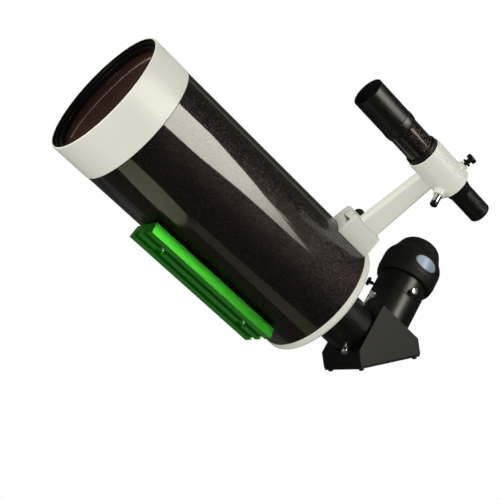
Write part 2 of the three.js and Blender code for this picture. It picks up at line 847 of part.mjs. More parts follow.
function makeEyepieceHolder() {
  const foot = PRISM_HALF + GAP;
  const holder = turned(
    [
      [23, foot],
      [HOLDER_R, foot],
      [HOLDER_R, HOLDER_TOP],
      [27.2, HOLDER_TOP],
      [27.2, HOLDER_TOP + 3],
      [NOSE_R + 0.4, HOLDER_TOP + 3],
      [NOSE_R + 0.4, foot + 6],
      [23, foot + 6],
    ],
    FINE,
  );
  add(column, "eyepiece_holder", holder, black);

  const screws = { side: 97, front: -145 };
  const collar = turned(
    [
      [27.5, HOLDER_TOP + GAP],
      [HOLDER_R, HOLDER_TOP + GAP],
      [HOLDER_R, COLLAR_TOP],
      [NOSE_R + 0.4, COLLAR_TOP],
      [NOSE_R + 0.4, HOLDER_TOP + 3.4],
      [27.5, HOLDER_TOP + 3.4],
    ],
    FINE,
  );
  const screwY = 70.3;
  const holes = Object.values(screws).map((turn) =>
    pointedOut(rod(2, NOSE_R - 1, 32, SMALL), 0, columnTurn(turn)).translate(0, screwY, 0),
  );
  add(column, "eyepiece_lock_collar", cut(collar, ...holes), black);

  const shank = { shankR: 1.6, tip: NOSE_R + GAP };
  const low = { ...shank, seat: 29.6, neckR: 2.6, neckTop: 31, headR: 4.4, headTop: 35.6 };
  const side = outward(column, screwY, columnTurn(screws.side));
  add(side, "holder_thumbscrew_side", thumbscrew(low), chrome);
  const long = { ...shank, seat: 30, neckR: 2.2, neckTop: 33.4, headR: 5, headTop: 37.4 };
  const front = outward(column, screwY, columnTurn(screws.front));
  add(front, "holder_thumbscrew_front", thumbscrew(long), black);
}

function makeEyepiece() {
  const body = turned(
    [
      [22, 42],
      [NOSE_R, 42],
      [NOSE_R, COLLAR_TOP + GAP],
      [27.4, COLLAR_TOP + GAP],
      [27.4, 104],
      [24.6, 108],
      [20, 108],
      [20, 104],
      [22, 102],
    ],
    FINE,
  );
  add(column, "eyepiece_body", body, black);
  const fieldFront = lensFace(62, 21.6, -3, 0, 21.6, 4);
  const fieldBack = lensFace(66, 21.6, 2, 0, 21.6, 4).reverse();
  const field = turned([...fieldFront, ...fieldBack], MEDIUM);
  add(column, "eyepiece_field_lens", field, glass);
  const eye = turned([...lensFace(99, 19.6, -1.5, 0, 19.6, 4), [19.6, 103.6], [0, 103.6]], MEDIUM);
  add(column, "eyepiece_eye_lens", eye, glass);
  const eyecup = turned(
    [
      [20.6, 108.4],
      [24.6, 108.4],
      [25.4, 112],
      [24.4, 124],
      [21.4, 132],
      [20, 132],
      [22.6, 124],
      [22.6, 112],
    ],
    MEDIUM,
  );
  add(column, "eyecup", eyecup, rubber);
}

// A rubber cap: a skirt that flares over the eyepiece, a shoulder, a cone and a domed top.
function makeDustCap() {
  const outside = [
    [31, 87.2],
    [32.6, 88.4],
    [33.2, 92.5],
    [34.4, 96],
    [34.4, 112],
    [33.3, 118],
    [28.6, 124.8],
    [25.4, 133],
    [23.2, 138],
    [19, 142.2],
    [11, 144.8],
    [0, 145.5],
  ];
  const inside = [
    [0, 141.5],
    [18, 138.6],
    [22.6, 131],
    [26.6, 121.8],
    [29.6, 115.5],
    [31.2, 110],
    [31.2, 101],
    [28.6, 92],
    [28.2, 87.2],
  ];
  add(column, "dust_cap", turned([...inside.reverse(), ...outside.reverse()].reverse(), MEDIUM), rubber);
}

makeTube();
makeFrontCell();
makeCorrector();
makeSecondaryBaffle();
makeRearCell();
makeCollimationScrews();
makePrimaryBaffle();
makePrimaryMirror();
makeFocuser();
makeVisualBack();
makeDovetailBar();
makeFinderShoe();
makeFinderBracket();
makeAdjustingScrews();
makePlunger();
makeFinderRubberRing();
makeFinderBody();
makeDiagonalBody();
makeDiagonalCover();
makeSidePlates();
makeDiagonalMirror();
makeNosepiece();
makeEyepieceHolder();
makeEyepiece();
makeDustCap();

export default telescope;
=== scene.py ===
# A 127 mm Maksutov telescope: fine surfaces and finishes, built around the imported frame.
#
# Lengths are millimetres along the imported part's axes, unless a comment says metres. Turned
# pieces are profiles of (radius, distance) points about their frame's Y axis, and a third
# number is a corner's radius. On the tube's and the finder's axis the distance is measured
# backwards from the front rim, and on the column's it is measured up from where the diagonal
# turns the light path.
import json
import math

import bmesh
import bpy
from mathutils import Matrix, Quaternion, Vector


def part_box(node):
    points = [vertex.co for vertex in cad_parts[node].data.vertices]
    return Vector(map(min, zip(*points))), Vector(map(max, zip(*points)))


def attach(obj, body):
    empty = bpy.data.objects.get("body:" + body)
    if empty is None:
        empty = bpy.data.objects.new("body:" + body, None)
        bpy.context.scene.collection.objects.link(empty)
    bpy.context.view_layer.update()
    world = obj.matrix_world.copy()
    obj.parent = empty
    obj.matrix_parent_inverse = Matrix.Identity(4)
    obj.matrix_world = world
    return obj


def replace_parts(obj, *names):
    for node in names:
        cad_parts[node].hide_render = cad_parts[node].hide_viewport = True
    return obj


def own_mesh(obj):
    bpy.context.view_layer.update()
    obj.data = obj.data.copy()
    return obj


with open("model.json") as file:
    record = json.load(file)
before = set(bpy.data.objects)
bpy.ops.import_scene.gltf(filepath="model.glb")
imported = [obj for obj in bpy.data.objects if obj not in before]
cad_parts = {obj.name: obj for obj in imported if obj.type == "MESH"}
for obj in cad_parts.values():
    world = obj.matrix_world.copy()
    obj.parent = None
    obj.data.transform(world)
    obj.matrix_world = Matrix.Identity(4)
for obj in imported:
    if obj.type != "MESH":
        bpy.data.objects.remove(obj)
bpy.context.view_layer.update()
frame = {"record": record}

MM = 0.001
EDGE = 0.35  # usual corner radius of a machined piece
ARC_STEPS = 4
BODY_OF = {
    node: body for body, nodes in frame["record"]["behaviour"]["bodies"].items() for node in nodes
}


def middle(node):
    low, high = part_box(node)
    return (low + high) / 2 / MM


def about(axis, degrees):
    return Matrix.Rotation(math.radians(degrees), 4, axis)


# ---- Places ----

CELL_LOW, CELL_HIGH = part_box("front_cell")
CELL_R = (CELL_HIGH.x - CELL_LOW.x) / 2 / MM
RIM_Y = CELL_LOW.y / MM
AXIS_Z = middle("front_cell").z
TUBE = Matrix.Translation((0, RIM_Y, AXIS_Z))
FINDER_TURN = 45
TURNED = TUBE @ about("Y", FINDER_TURN)  # +Z points out through the finder's foot
SHADE = middle("finder_dew_shade")
FINDER = Matrix.Translation((SHADE.x, RIM_Y, SHADE.z)) @ about("Y", FINDER_TURN)
FOLD = Matrix.Translation((0, middle("eyepiece_holder").y, AXIS_Z))
COLUMN = FOLD @ about("X", 90)  # +Y points up to the eyepiece
LENGTHWAYS = about("X", 90)  # turns an outline's y into z, and its depth into -Y
UPRIGHT = about("X", -90)  # turns a push along Z into one along Y


def outward(place, along, degrees):
    """A frame whose +Y points out from place's Y axis, turned from its +Z towards its +X."""
    return place @ Matrix.Translation((0, along, 0)) @ about("Y", degrees) @ about("X", 90)


# ---- Shapes ----


def mesh_object(shape):
    bmesh.ops.recalc_face_normals(shape, faces=shape.faces)
    mesh = bpy.data.meshes.new("piece")
    shape.to_mesh(mesh)
    shape.free()
    piece = bpy.data.objects.new("piece", mesh)
    bpy.context.scene.collection.objects.link(piece)
    return piece


def skinned(rows):
    """A solid through rows of points. Each row is a closed loop, and the two ends are capped."""
    shape = bmesh.new()
    loops = [[shape.verts.new(point * MM) for point in row] for row in rows]
    shape.faces.new(loops[0])
    shape.faces.new(loops[-1])
    for one, two in zip(loops, loops[1:]):
        for i in range(len(one)):
            shape.faces.new((one[i - 1], one[i], two[i], two[i - 1]))
    return mesh_object(shape)


def softened(profile, closed):
    """The profile with its corners rounded. A point's third number is its corner radius."""
    points = []
    last = len(profile) - 1
    for i, corner in enumerate(profile):
        here = Vector(corner[:2])
        radius = corner[2] if len(corner) > 2 else EDGE
        if radius == 0 or (not closed and i in (0, last)):
            points.append(here)
            continue
        before = Vector(profile[i - 1][:2]) - here
        after = Vector(profile[(i + 1) % len(profile)][:2]) - here
        reach = min(radius, before.length * 0.45, after.length * 0.45)
        start = here + before.normalized() * reach
        end = here + after.normalized() * reach
        for step in range(ARC_STEPS + 1):
            t = step / ARC_STEPS
            points.append(start * (1 - t) ** 2 + here * (2 * t * (1 - t)) + end * t**2)
    return points


def turned(profile, place, sides=96, knurl=None):
    """A profile turned about place's Y axis. knurl is (from, to, ridges, depth)."""
    closed = profile[0][0] > 0 or profile[-1][0] > 0
    widest = max(point[0] for point in profile)
    shape = bmesh.new()
    rows = []
    for radius, along in softened(profile, closed):
        row = []
        for step in range(sides if radius > 0 else 1):
            angle = 2 * math.pi * step / sides
            r = radius
            if knurl and knurl[0] <= along <= knurl[1] and radius > 0.85 * widest:
                r -= knurl[3] * (0.5 - 0.5 * math.cos(knurl[2] * angle))
            point = Vector((r * math.sin(angle), along, r * math.cos(angle)))
            row.append(shape.verts.new(place @ point * MM))
        rows.append(row)
    for one, two in zip(rows, rows[1:] + (rows[:1] if closed else [])):
        if len(one) == len(two) == 1:
            continue
        for i in range(sides):
            after = i + 1
            near = [one[i % len(one)], one[after % len(one)]]
            far = [two[after % len(two)], two[i % len(two)]]
            shape.faces.new(dict.fromkeys(near + far))
    return mesh_object(shape)


def ring(inner, outer, start, end, place, sides=96, edge=EDGE):
    profile = [(inner, start, edge), (outer, start, edge), (outer, end, edge), (inner, end, edge)]
    return turned(profile, place, sides)


def rod(radius, start, end, place, sides=64):
    return turned([(0, start), (radius, start, 0), (radius, end, 0), (0, end)], place, sides)


def lens_face(rim, rim_radius, bulge, inner, outer, steps=16):
    """Points of a spherical face. bulge is how far its middle lies from its rim."""
    sphere = (rim_radius**2 + bulge**2) / (2 * abs(bulge))
    drop = math.sqrt(sphere**2 - rim_radius**2)
    points = []
    for step in range(steps + 1):
        radius = inner + (outer - inner) * step / steps
        height = math.sqrt(sphere**2 - radius**2) - drop
        points.append((radius, rim + math.copysign(height, bulge), 0))
    return points


def mirrored(half):
    """An outline made of a half and its mirror image across the second axis."""
    return half + [(-x, y) for x, y in reversed(half)]


def prism(outline, depth, place):
    """An outline of (x, y) points pushed out along place's +Z."""
    return skinned([[place @ Vector((x, y, z)) for x, y in outline] for z in (0, depth)])


def slab(width, length, height, place):
    """A block centred on place."""
    x, y = width / 2, length / 2
    outline = [(-x, -y), (x, -y), (x, y), (-x, y)]
    return prism(outline, height, place @ Matrix.Translation((0, 0, -height / 2)))


def hexagon(across):
    radius = across / math.sqrt(3)
    return [(radius * math.cos(k * math.pi / 3), radius * math.sin(k * math.pi / 3)) for k in range(6)]


def coil(radius, wire, start, end, turns, place):
    """A round wire wound about place's Y axis."""
    around, steps = 10, 28 * turns
    rows = []
    for step in range(steps + 1):
        angle = 2 * math.pi * turns * step / steps
        out = Vector((math.cos(angle), 0, math.sin(angle)))
        row = []
        for k in range(around):
            turn = 2 * math.pi * k / around
            point = out * (radius + wire * math.cos(turn))
            point.y = start + (end - start) * step / steps + wire * math.sin(turn)
            row.append(place @ point)
        rows.append(row)
    return skinned(rows)


def baked(piece):
    """The piece with its modifiers applied."""
    bpy.context.view_layer.update()
    solid = piece.evaluated_get(bpy.context.evaluated_depsgraph_get())
    mesh = bpy.data.meshes.new_from_object(solid)
    piece.modifiers.clear()
    piece.data = mesh
    return piece


def combined(piece, others, operation):
    """The piece after a boolean with each of the others, which are used up."""
    for other in others:
        combine = piece.modifiers.new("combine", "BOOLEAN")
        combine.operation = operation
        combine.solver = "EXACT"
        combine.object = other
    baked(piece)
    for other in others:
        bpy.data.objects.remove(other)
    return piece


def carved(piece, *tools):
    return combined(piece, tools, "DIFFERENCE")


def joined(piece, *others):
    return combined(piece, others, "UNION")


def bevelled(piece, width, segments=3):
    bevel = piece.modifiers.new("bevel", "BEVEL")
    bevel.width = width * MM
    bevel.segments = segments
    bevel.limit_method = "ANGLE"
    bevel.angle_limit = math.radians(30)
    return baked(piece)


def cast(pieces, voxel, rounds):
    """Pieces melted into one casting, with rounded corners inside and out."""
    shape = bmesh.new()
    for piece in pieces:
        shape.from_mesh(piece.data)
        bpy.data.objects.remove(piece)
    casting = mesh_object(shape)
    remesh = casting.modifiers.new("remesh", "REMESH")
    remesh.mode = "VOXEL"
    remesh.voxel_size = voxel * MM
    smooth = casting.modifiers.new("smooth", "SMOOTH")
    smooth.factor = 0.5
    smooth.iterations = rounds
    return baked(casting)


# ---- Finishes ----


class Finish:
    """A node material with a Principled surface, and short ways to give it texture.

    The slot is the record's material slot that the finish stands for.
    """

    def __init__(self, name, color, roughness, metallic=0.0, slot=None):
        self.material = bpy.data.materials.new(name)
        self.material["slot"] = slot or name
        self.material.use_nodes = True
        self.tree = self.material.node_tree
        self.surface = self.tree.nodes["Principled BSDF"]
        self.put("Base Color", (*color, 1))
        self.put("Roughness", roughness)
        self.put("Metallic", metallic)
        self.material.diffuse_color = (*color, 1)
        self.material.roughness = roughness
        self.material.metallic = metallic
        self.place = self.node("TexCoord").outputs["Object"]

    def node(self, kind, **settings):
        made = self.tree.nodes.new("ShaderNode" + kind)
        for name, value in settings.items():
            setattr(made, name, value)
        return made

    def feed(self, socket, value):
        if isinstance(value, bpy.types.NodeSocket):
            self.tree.links.new(value, socket)
        else:
            socket.default_value = value

    def put(self, name, value):
        self.feed(self.surface.inputs[name], value)

    def stretched(self, scale):
        mapping = self.node("Mapping")
        self.feed(mapping.inputs["Vector"], self.place)
        mapping.inputs["Scale"].default_value = scale
        return mapping.outputs["Vector"]

    def noise(self, size, detail=3.0, stretch=(1, 1, 1)):
        """Soft noise whose lumps are about size across. A small stretch value draws it out."""
        texture = self.node("TexNoise")
        self.feed(texture.inputs["Vector"], self.stretched(stretch))
        texture.inputs["Scale"].default_value = 1 / (size * MM)
        texture.inputs["Detail"].default_value = detail
        return texture.outputs["Fac"]

    def cells(self, size):
        texture = self.node("TexVoronoi")
        self.feed(texture.inputs["Vector"], self.place)
        texture.inputs["Scale"].default_value = 1 / (size * MM)
        return texture

    def spread(self, value, low, high, start=0.3, end=0.7):
        """value's run from start to end becomes low to high."""
        span = self.node("MapRange")
        self.feed(span.inputs["Value"], value)
        span.inputs["From Min"].default_value = start
        span.inputs["From Max"].default_value = end
        span.inputs["To Min"].default_value = low
        span.inputs["To Max"].default_value = high
        return span.outputs["Result"]

    def blend(self, factor, one, two):
        mix = self.node("Mix", data_type="RGBA")
        self.feed(mix.inputs[0], factor)
        self.feed(mix.inputs[6], one if isinstance(one, bpy.types.NodeSocket) else (*one, 1))
        self.feed(mix.inputs[7], two if isinstance(two, bpy.types.NodeSocket) else (*two, 1))
        return mix.outputs[2]

    def ramp(self, value, stops):
        ramp = self.node("ValToRGB")
        self.feed(ramp.inputs["Fac"], value)
        elements = ramp.color_ramp.elements
        while len(elements) < len(stops):
            elements.new(0.5)
        for element, (place, color) in zip(elements, stops):
            element.position = place
            element.color = (*color, 1)
        return ramp.outputs["Color"]

    def bump(self, height, depth):
        """Raises the surface by up to depth millimetres."""
        bump = self.node("Bump")
        bump.inputs["Distance"].default_value = depth * MM
        self.feed(bump.inputs["Height"], height)
        self.put("Normal", bump.outputs["Normal"])


def make_white_paint():
    """Semi-gloss powder coat with a faint orange peel."""
    look = Finish("white_paint", (0.79, 0.795, 0.70), 0.34)
    look.put("Base Color", look.blend(look.noise(28), (0.77, 0.775, 0.675), (0.81, 0.815, 0.725)))
    look.put("Roughness", look.spread(look.noise(6), 0.3, 0.4))
    look.bump(look.noise(1.6, 2), 0.02)
    return look.material


def make_sparkle_paint():
    """Gloss brown-black with fine copper flakes under a clear coat."""
    look = Finish("sparkle_paint", (0.008, 0.006, 0.005), 0.42, 0.7)
    flakes = look.cells(0.6)
    channels = look.node("SeparateColor")
    look.feed(channels.inputs["Color"], flakes.outputs["Color"])
    stops = [
        (0.0, (0.0022, 0.0018, 0.0016)),
        (0.6, (0.005, 0.0034, 0.0028)),
        (0.85, (0.014, 0.007, 0.0042)),
        (1.0, (0.068, 0.03, 0.016)),
    ]
    look.put("Base Color", look.ramp(channels.outputs["Red"], stops))
    tilt = look.node("VectorMath", operation="SUBTRACT")
    look.feed(tilt.inputs[0], flakes.outputs["Color"])
    tilt.inputs[1].default_value = (0.5, 0.5, 0.5)
    lean = look.node("VectorMath", operation="MULTIPLY_ADD")
    look.feed(lean.inputs[0], tilt.outputs["Vector"])
    lean.inputs[1].default_value = (0.6, 0.6, 0.6)
    look.feed(lean.inputs[2], look.node("NewGeometry").outputs["Normal"])
    straight = look.node("VectorMath", operation="NORMALIZE")
    look.feed(straight.inputs[0], lean.outputs["Vector"])
    look.put("Normal", straight.outputs["Vector"])
    look.put("Coat Weight", 1.0)
    look.put("Coat Roughness", 0.055)
    return look.material


def make_black_satin():
    """Fine satin black, as anodised or painted metal."""
    look = Finish("black_satin", (0.003, 0.003, 0.0026), 0.34)
    look.put("Base Color", look.blend(look.noise(9), (0.002, 0.002, 0.0017), (0.004, 0.004, 0.0034)))
    look.put("Specular IOR Level", 0.42)
    look.put("Roughness", look.spread(look.noise(1.2), 0.29, 0.4))
    look.bump(look.noise(0.35, 2), 0.008)
    return look.material


def make_matte_black():
    """Flat black that stops stray light."""
    look = Finish("matte_black", (0.006, 0.006, 0.006), 0.7)
    look.put("Roughness", look.spread(look.noise(2), 0.6, 0.8))
    look.bump(look.noise(0.5, 2), 0.02)
    return look.material


def make_dark_grey():
    """Fine satin dark grey, as a painted sheet."""
    look = Finish("dark_grey", (0.0145, 0.0145, 0.0115), 0.5)
    look.put("Base Color", look.blend(look.noise(0.5), (0.011, 0.011, 0.0085), (0.0175, 0.0175, 0.014)))
    look.put("Specular IOR Level", 0.35)
    look.bump(look.noise(0.45, 2), 0.015)
    return look.material


def make_pale_plate():
    """Brushed light plate with a soft lacquer."""
    look = Finish("pale_plate", (0.24, 0.30, 0.40), 0.42, 0.2, slot="dark_grey")
    look.put("Base Color", look.blend(look.noise(4), (0.22, 0.28, 0.38), (0.26, 0.32, 0.42)))
    look.bump(look.noise(0.3, 2, (1, 1, 0.1)), 0.004)
    return look.material


def make_green_anodised():
    """Bright green anodised extrusion, with die lines along its length."""
    look = Finish("green_anodised", (0.05, 0.55, 0.03), 0.3, 0.9)
    lines = look.noise(0.5, 3, (1, 0.012, 1))
    look.put("Base Color", look.blend(lines, (0.045, 0.50, 0.025), (0.06, 0.57, 0.035)))
    look.put("Roughness", look.spread(lines, 0.27, 0.34))
    look.bump(lines, 0.003)
    return look.material


def make_metal(name, color, roughness, grain):
    """A bare metal with fine scratches of the given size."""
    look = Finish(name, color, roughness, 1.0)
    look.put("Roughness", look.spread(look.noise(grain, 5), roughness * 0.75, roughness * 1.35))
    shade = tuple(c * 0.9 for c in color)
    look.put("Base Color", look.blend(look.noise(5), shade, color))
    look.bump(look.noise(grain, 2), 0.003)
    return look.material


def make_rubber():
    """Dull black rubber with soft lumps."""
    look = Finish("rubber", (0.005, 0.005, 0.0045), 0.55)
    look.put("Base Color", look.blend(look.noise(7), (0.0035, 0.0035, 0.003), (0.0065, 0.0065, 0.0055)))
    look.put("Specular IOR Level", 0.28)
    look.put("Roughness", look.spread(look.noise(3), 0.46, 0.6))
    look.bump(look.noise(0.6, 3), 0.03)
    return look.material


def make_glass():
    """Coated glass: clear when faced. Its colour turns brown-magenta when seen aslant, as a painted
    reflection of the coating.
    """
    look = Finish("glass", (0.05, 0.022, 0.020), 0.03)
    facing = look.node("LayerWeight").outputs["Facing"]
    # Painted reflection: the base colour follows the viewing angle and is brown-magenta aslant, in place
    # of the coating's real reflection.
    stops = [
        (0.0, (0.01, 0.012, 0.016)),
        (0.45, (0.024, 0.01, 0.008)),
        (0.8, (0.046, 0.022, 0.013)),
        (1.0, (0.034, 0.025, 0.021)),
    ]
    look.put("Base Color", look.ramp(facing, stops))
    look.put("Alpha", look.spread(facing, 0.3, 0.8, 0.0, 0.8))
    look.put("Roughness", look.spread(look.noise(20), 0.015, 0.05))
    return look.material


WHITE = make_white_paint()
SPARKLE = make_sparkle_paint()
SATIN = make_black_satin()
MATTE = make_matte_black()
GREY = make_dark_grey()
PALE = make_pale_plate()
GREEN = make_green_anodised()
CHROME = make_metal("chrome", (0.78, 0.78, 0.77), 0.13, 1.5)
BRASS = make_metal("brass", (0.62, 0.43, 0.17), 0.25, 0.8)
ALUMINIUM = make_metal("aluminium", (0.62, 0.63, 0.64), 0.34, 0.5)
MIRROR = make_metal("mirror", (0.88, 0.9, 0.92), 0.03, 12)
RUBBER = make_rubber()
GLASS = make_glass()


# ---- Pieces and their bodies ----


def shaded(piece, sharp=35):
    """The piece with smooth shading, apart from edges that turn by more than sharp degrees."""
    mesh = piece.data
    mesh.shade_smooth()
    mesh.set_sharp_from_angle(angle=math.radians(sharp))
    piece.modifiers.new("even_shading", "WEIGHTED_NORMAL").keep_sharp = True
    return piece


def add_on(piece, name, body, *finishes):
    """A piece that the CAD doesn't have, such as a badge."""
    shaded(piece)
    piece.name = name
    piece.data.materials.clear()
    for finish in finishes:
        piece.data.materials.append(finish)
    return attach(piece, body)


def stand_for(piece, node, *finishes):
    """A finished piece that takes a CAD node's place."""
    add_on(piece, node + "_finished", BODY_OF[node], *finishes)
    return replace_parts(piece, node)


def refinish(piece, place, chosen):
    """Gives a piece's second finish to the faces whose middle, in place's frame, is chosen."""
    back = place.inverted()
    for face in piece.data.polygons:
        if chosen(back @ (face.center / MM)):
            face.material_index = 1


def from_axis(point):
    return math.hypot(point.x, point.z)


# ---- Optical tube ----

TUBE_R = 72.0
BORE_R = 70.5
SPIGOT_R = 70.1
FRONT_CELL_END = 45.0
REAR_CELL_START = 318.0
LENGTH = 327.5
GAP = 0.3
LENS_FRONT = 10.9
LENS_HOLLOW = 11.3  # how far the middle of the corrector's front face lies behind its rim
LENS_REAR = 20.9
CLEAR_R = 63.5
LENS_R = 67.2
FOCUS_SCREW = TUBE @ Matrix.Translation((-47, 0, 0))


def make_tube():
    tube = ring(BORE_R, TUBE_R, FRONT_CELL_END + GAP, REAR_CELL_START - GAP, TUBE, 192)
    stand_for(tube, "tube", SPARKLE, MATTE)
    refinish(tube, TUBE, lambda p: from_axis(p) < BORE_R + 0.1)


def make_front_cell():
    lip = CELL_R - 1.8
    profile = [
        (lip, 0, 0.4),
        (CELL_R - 0.6, 0, 0.4),
        (CELL_R, 0.8, 0.5),
        (CELL_R, FRONT_CELL_END, 0.5),
        (SPIGOT_R, FRONT_CELL_END),
        (SPIGOT_R, FRONT_CELL_END + 12),
        (CLEAR_R + 3.5, FRONT_CELL_END + 12),
        (CLEAR_R + 3.5, 25.2),
        (CLEAR_R - 1, 24.2),
        (CLEAR_R - 1, 21.2),
        (LENS_R + 0.4, 21.2),
        (LENS_R + 0.4, 2.6, 0.4),
        (lip, 2.6),
    ]
    cell = turned(profile, TUBE, 192)
    stand_for(cell, "front_cell", WHITE, SATIN)
    refinish(cell, TUBE, lambda p: from_axis(p) < lip + 0.05)


def make_corrector():
    rear_rim = CLEAR_R - 1.2
    faces = lens_face(LENS_FRONT, CLEAR_R, LENS_HOLLOW, 0, CLEAR_R, 48)
    faces += [(LENS_R, LENS_FRONT, 0.3), (LENS_R, LENS_REAR, 0.3)]
    faces += lens_face(LENS_REAR, rear_rim, 11, 0, rear_rim)[::-1]
    stand_for(turned(faces, TUBE, 288), "corrector_lens", GLASS)
    back = LENS_FRONT - GAP
    retainer = [(CLEAR_R, 5.5, 0.6), (LENS_R, 5.5, 0.5), (LENS_R, back), (CLEAR_R, back, 0.5)]
    stand_for(turned(retainer, TUBE, 160), "corrector_retaining_ring", SATIN)
    # The aluminised spot on the back of the corrector is the secondary mirror.
    spot_r = 17
    spot = lens_face(LENS_REAR + 0.15, rear_rim, 11, 0, spot_r, 6)
    spot += [(r, along + 0.15, 0) for r, along, _ in reversed(spot)]
    add_on(turned(spot, TUBE), "secondary_spot", BODY_OF["corrector_lens"], MIRROR)


def make_baffles():
    cone = [(17.8, 32.4), (19, 32.4), (15.5, 60.4), (14.3, 60.4)]
    stand_for(turned(cone, TUBE), "secondary_baffle", MATTE)
    flange = LENGTH - 8 - GAP
    pipe = [(13.3, 128), (14.5, 128), (14.5, flange - 4)]
    pipe += [(30, flange - 4), (30, flange), (13.3, flange)]
    stand_for(turned(pipe, TUBE), "primary_baffle_tube", MATTE)


def make_rear_cell():
    profile = [
        (22, LENGTH),
        (69.5, LENGTH, 1.5),
        (71.8, LENGTH - 1, 1),
        (CELL_R, LENGTH - 3.2, 1),
        (CELL_R, REAR_CELL_START, 0.6),
        (SPIGOT_R, REAR_CELL_START),
        (SPIGOT_R, REAR_CELL_START - 12),
        (SPIGOT_R - 3, REAR_CELL_START - 12),
        (SPIGOT_R - 3, LENGTH - 8),
        (22, LENGTH - 8),
    ]
    cell = turned(profile, TUBE, 192)
    stand_for(cell, "rear_cell", WHITE, MATTE)
    refinish(cell, TUBE, lambda p: from_axis(p) < SPIGOT_R - 1 and p.y < LENGTH - 4)


def socket_screw(node, place, profile, socket, finish, across=3.0):
    """A cap screw about place's Y axis. socket is (its bottom, its mouth) on that axis."""
    low, high = sorted(socket)
    tool = prism(hexagon(across), high - low, place @ Matrix.Translation((0, low, 0)) @ UPRIGHT)
    stand_for(carved(turned(profile, place, 48), tool), node, finish)


def make_collimation_screws():
    profile = [
        (0, LENGTH - 12),
        (2, LENGTH - 12, 0.2),
        (2, LENGTH + GAP, 0.1),
        (4, LENGTH + GAP, 0.2),
        (4, LENGTH + 4, 0.5),
        (0, LENGTH + 4),
    ]
    for number, turn in enumerate((90, 210, 330), 1):
        place = TUBE @ about("Y", turn) @ Matrix.Translation((0, 0, 55))
        socket = (LENGTH + 1.8, LENGTH + 5)
        socket_screw(f"collimation_screw_{number}", place, profile, socket, CHROME)


def make_primary_mirror():
    rim, back, hole = 262, 278, 19
    face = lens_face(rim, 64, 5, hole, 64)
    mirror = turned(face + [(64, back, 0.5), (hole, back)], TUBE, 128)
    stand_for(mirror, "primary_mirror", MIRROR)
    carrier = [
        (14.8, rim - 4),
        (18.5, rim - 4),
        (18.5, back + GAP),
        (58, back + GAP),
        (58, back + 6, 0.8),
        (21.5, back + 6, 1),
        (21.5, back + 22),
        (14.8, back + 22),
    ]
    plate = joined(turned(carrier, TUBE), rod(8.5, back + 2, back + 23, FOCUS_SCREW))
    stand_for(carved(plate, rod(4.6, back - 2, back + 28, FOCUS_SCREW)), "mirror_carrier", ALUMINIUM)
    stand_for(ring(18.8, 22.5, rim - 1, rim + 3.8, TUBE), "mirror_retaining_ring", MATTE)


def make_focuser():
    bushing = [
        (3.4, LENGTH - 14),
        (5.1, LENGTH - 14),
        (5.1, LENGTH + GAP, 0.1),
        (8.5, LENGTH + GAP),
        (8.5, LENGTH + 4, 0.6),
        (3.4, LENGTH + 4),
    ]
    stand_for(turned(bushing, FOCUS_SCREW), "focus_bushing", BRASS)
    thread = [(0, 288.6), (4, 288.6), (4, LENGTH - 16)]
    shaft = thread + [(3, LENGTH - 16), (3, LENGTH + 27), (0, LENGTH + 27)]
    stand_for(turned(shaft, FOCUS_SCREW, 48), "focus_shaft", BRASS)
    knob = [
        (3.3, LENGTH + 5),
        (11, LENGTH + 5, 0.8),
        (12, LENGTH + 6.5, 0.5),
        (12, LENGTH + 24, 1.2),
        (10.6, LENGTH + 27.4, 1.6),
        (8, LENGTH + 27.2, 0.4),
        (7.4, LENGTH + 26.4, 0.4),
        (0, LENGTH + 26.4),
        (0, LENGTH + 26.2),
        (3.3, LENGTH + 26.2),
    ]
    grip = (LENGTH + 7.5, LENGTH + 24, 22, 1.1)
    stand_for(turned(knob, FOCUS_SCREW, 176, grip), "focus_knob", RUBBER)


# ---- Thumbscrews ----


def thumbscrew(node, place, shank, seat, neck, head, finish, ridges=18, ridge_depth=0.35):
    """A screw with a ridged head. shank is (radius, tip); neck and head are (radius, far end)."""
    start, top = neck[1], head[1]
    profile = [
        (0, shank[1]),
        (shank[0] - 0.4, shank[1], 0.1),
        (shank[0], shank[1] + 0.6, 0.1),
        (shank[0], seat, 0.1),
        (neck[0], seat, 0.25),
        (neck[0], start, 0.3),
        (head[0] - 0.5, start, 0.3),
        (head[0], start + 0.7, 0.3),
        (head[0], top - 0.8, 0.3),
        (head[0] - 0.7, top, 0.3),
        (0, top),
    ]
    grip = (start + 0.8, top - 0.9, ridges, ridge_depth)
    return stand_for(turned(profile, place, ridges * 6, grip), node, finish)


# ---- Visual back ----


def make_visual_back():
    inner, outer, end = 25.8, 29.5, 381
    body = [
        (19, LENGTH - 6),
        (21.6, LENGTH - 6),
        (21.6, LENGTH + GAP),
        (outer, LENGTH + GAP, 0.6),
        (outer, end, 0.7),
        (inner, end, 0.5),
        (inner, LENGTH + 8),
        (19, LENGTH + 8),
    ]
    places = {"upper": outward(TUBE, 376, 25), "lower": outward(TUBE, 376, 150)}
    holes = [rod(2.1, 24, 32, place, 32) for place in places.values()]
    stand_for(carved(turned(body, TUBE, 128), *holes), "visual_back", SATIN)
    for side, place in places.items():
        thumbscrew(f"visual_back_screw_{side}", place, (1.7, 25.7), 33, (2.2, 39), (3.9, 46), CHROME)


# ---- Dovetail bar ----

BAR_LOW, BAR_HIGH = (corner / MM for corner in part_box("dovetail_bar"))
SCREW_OFFSET = 60


def bar_screw_place(side):
    """The axis of the bar's front (-1) or rear (1) screw, with +Y pointing up into the tube."""
    return Matrix.Translation((0, side * SCREW_OFFSET, 0)) @ LENGTHWAYS


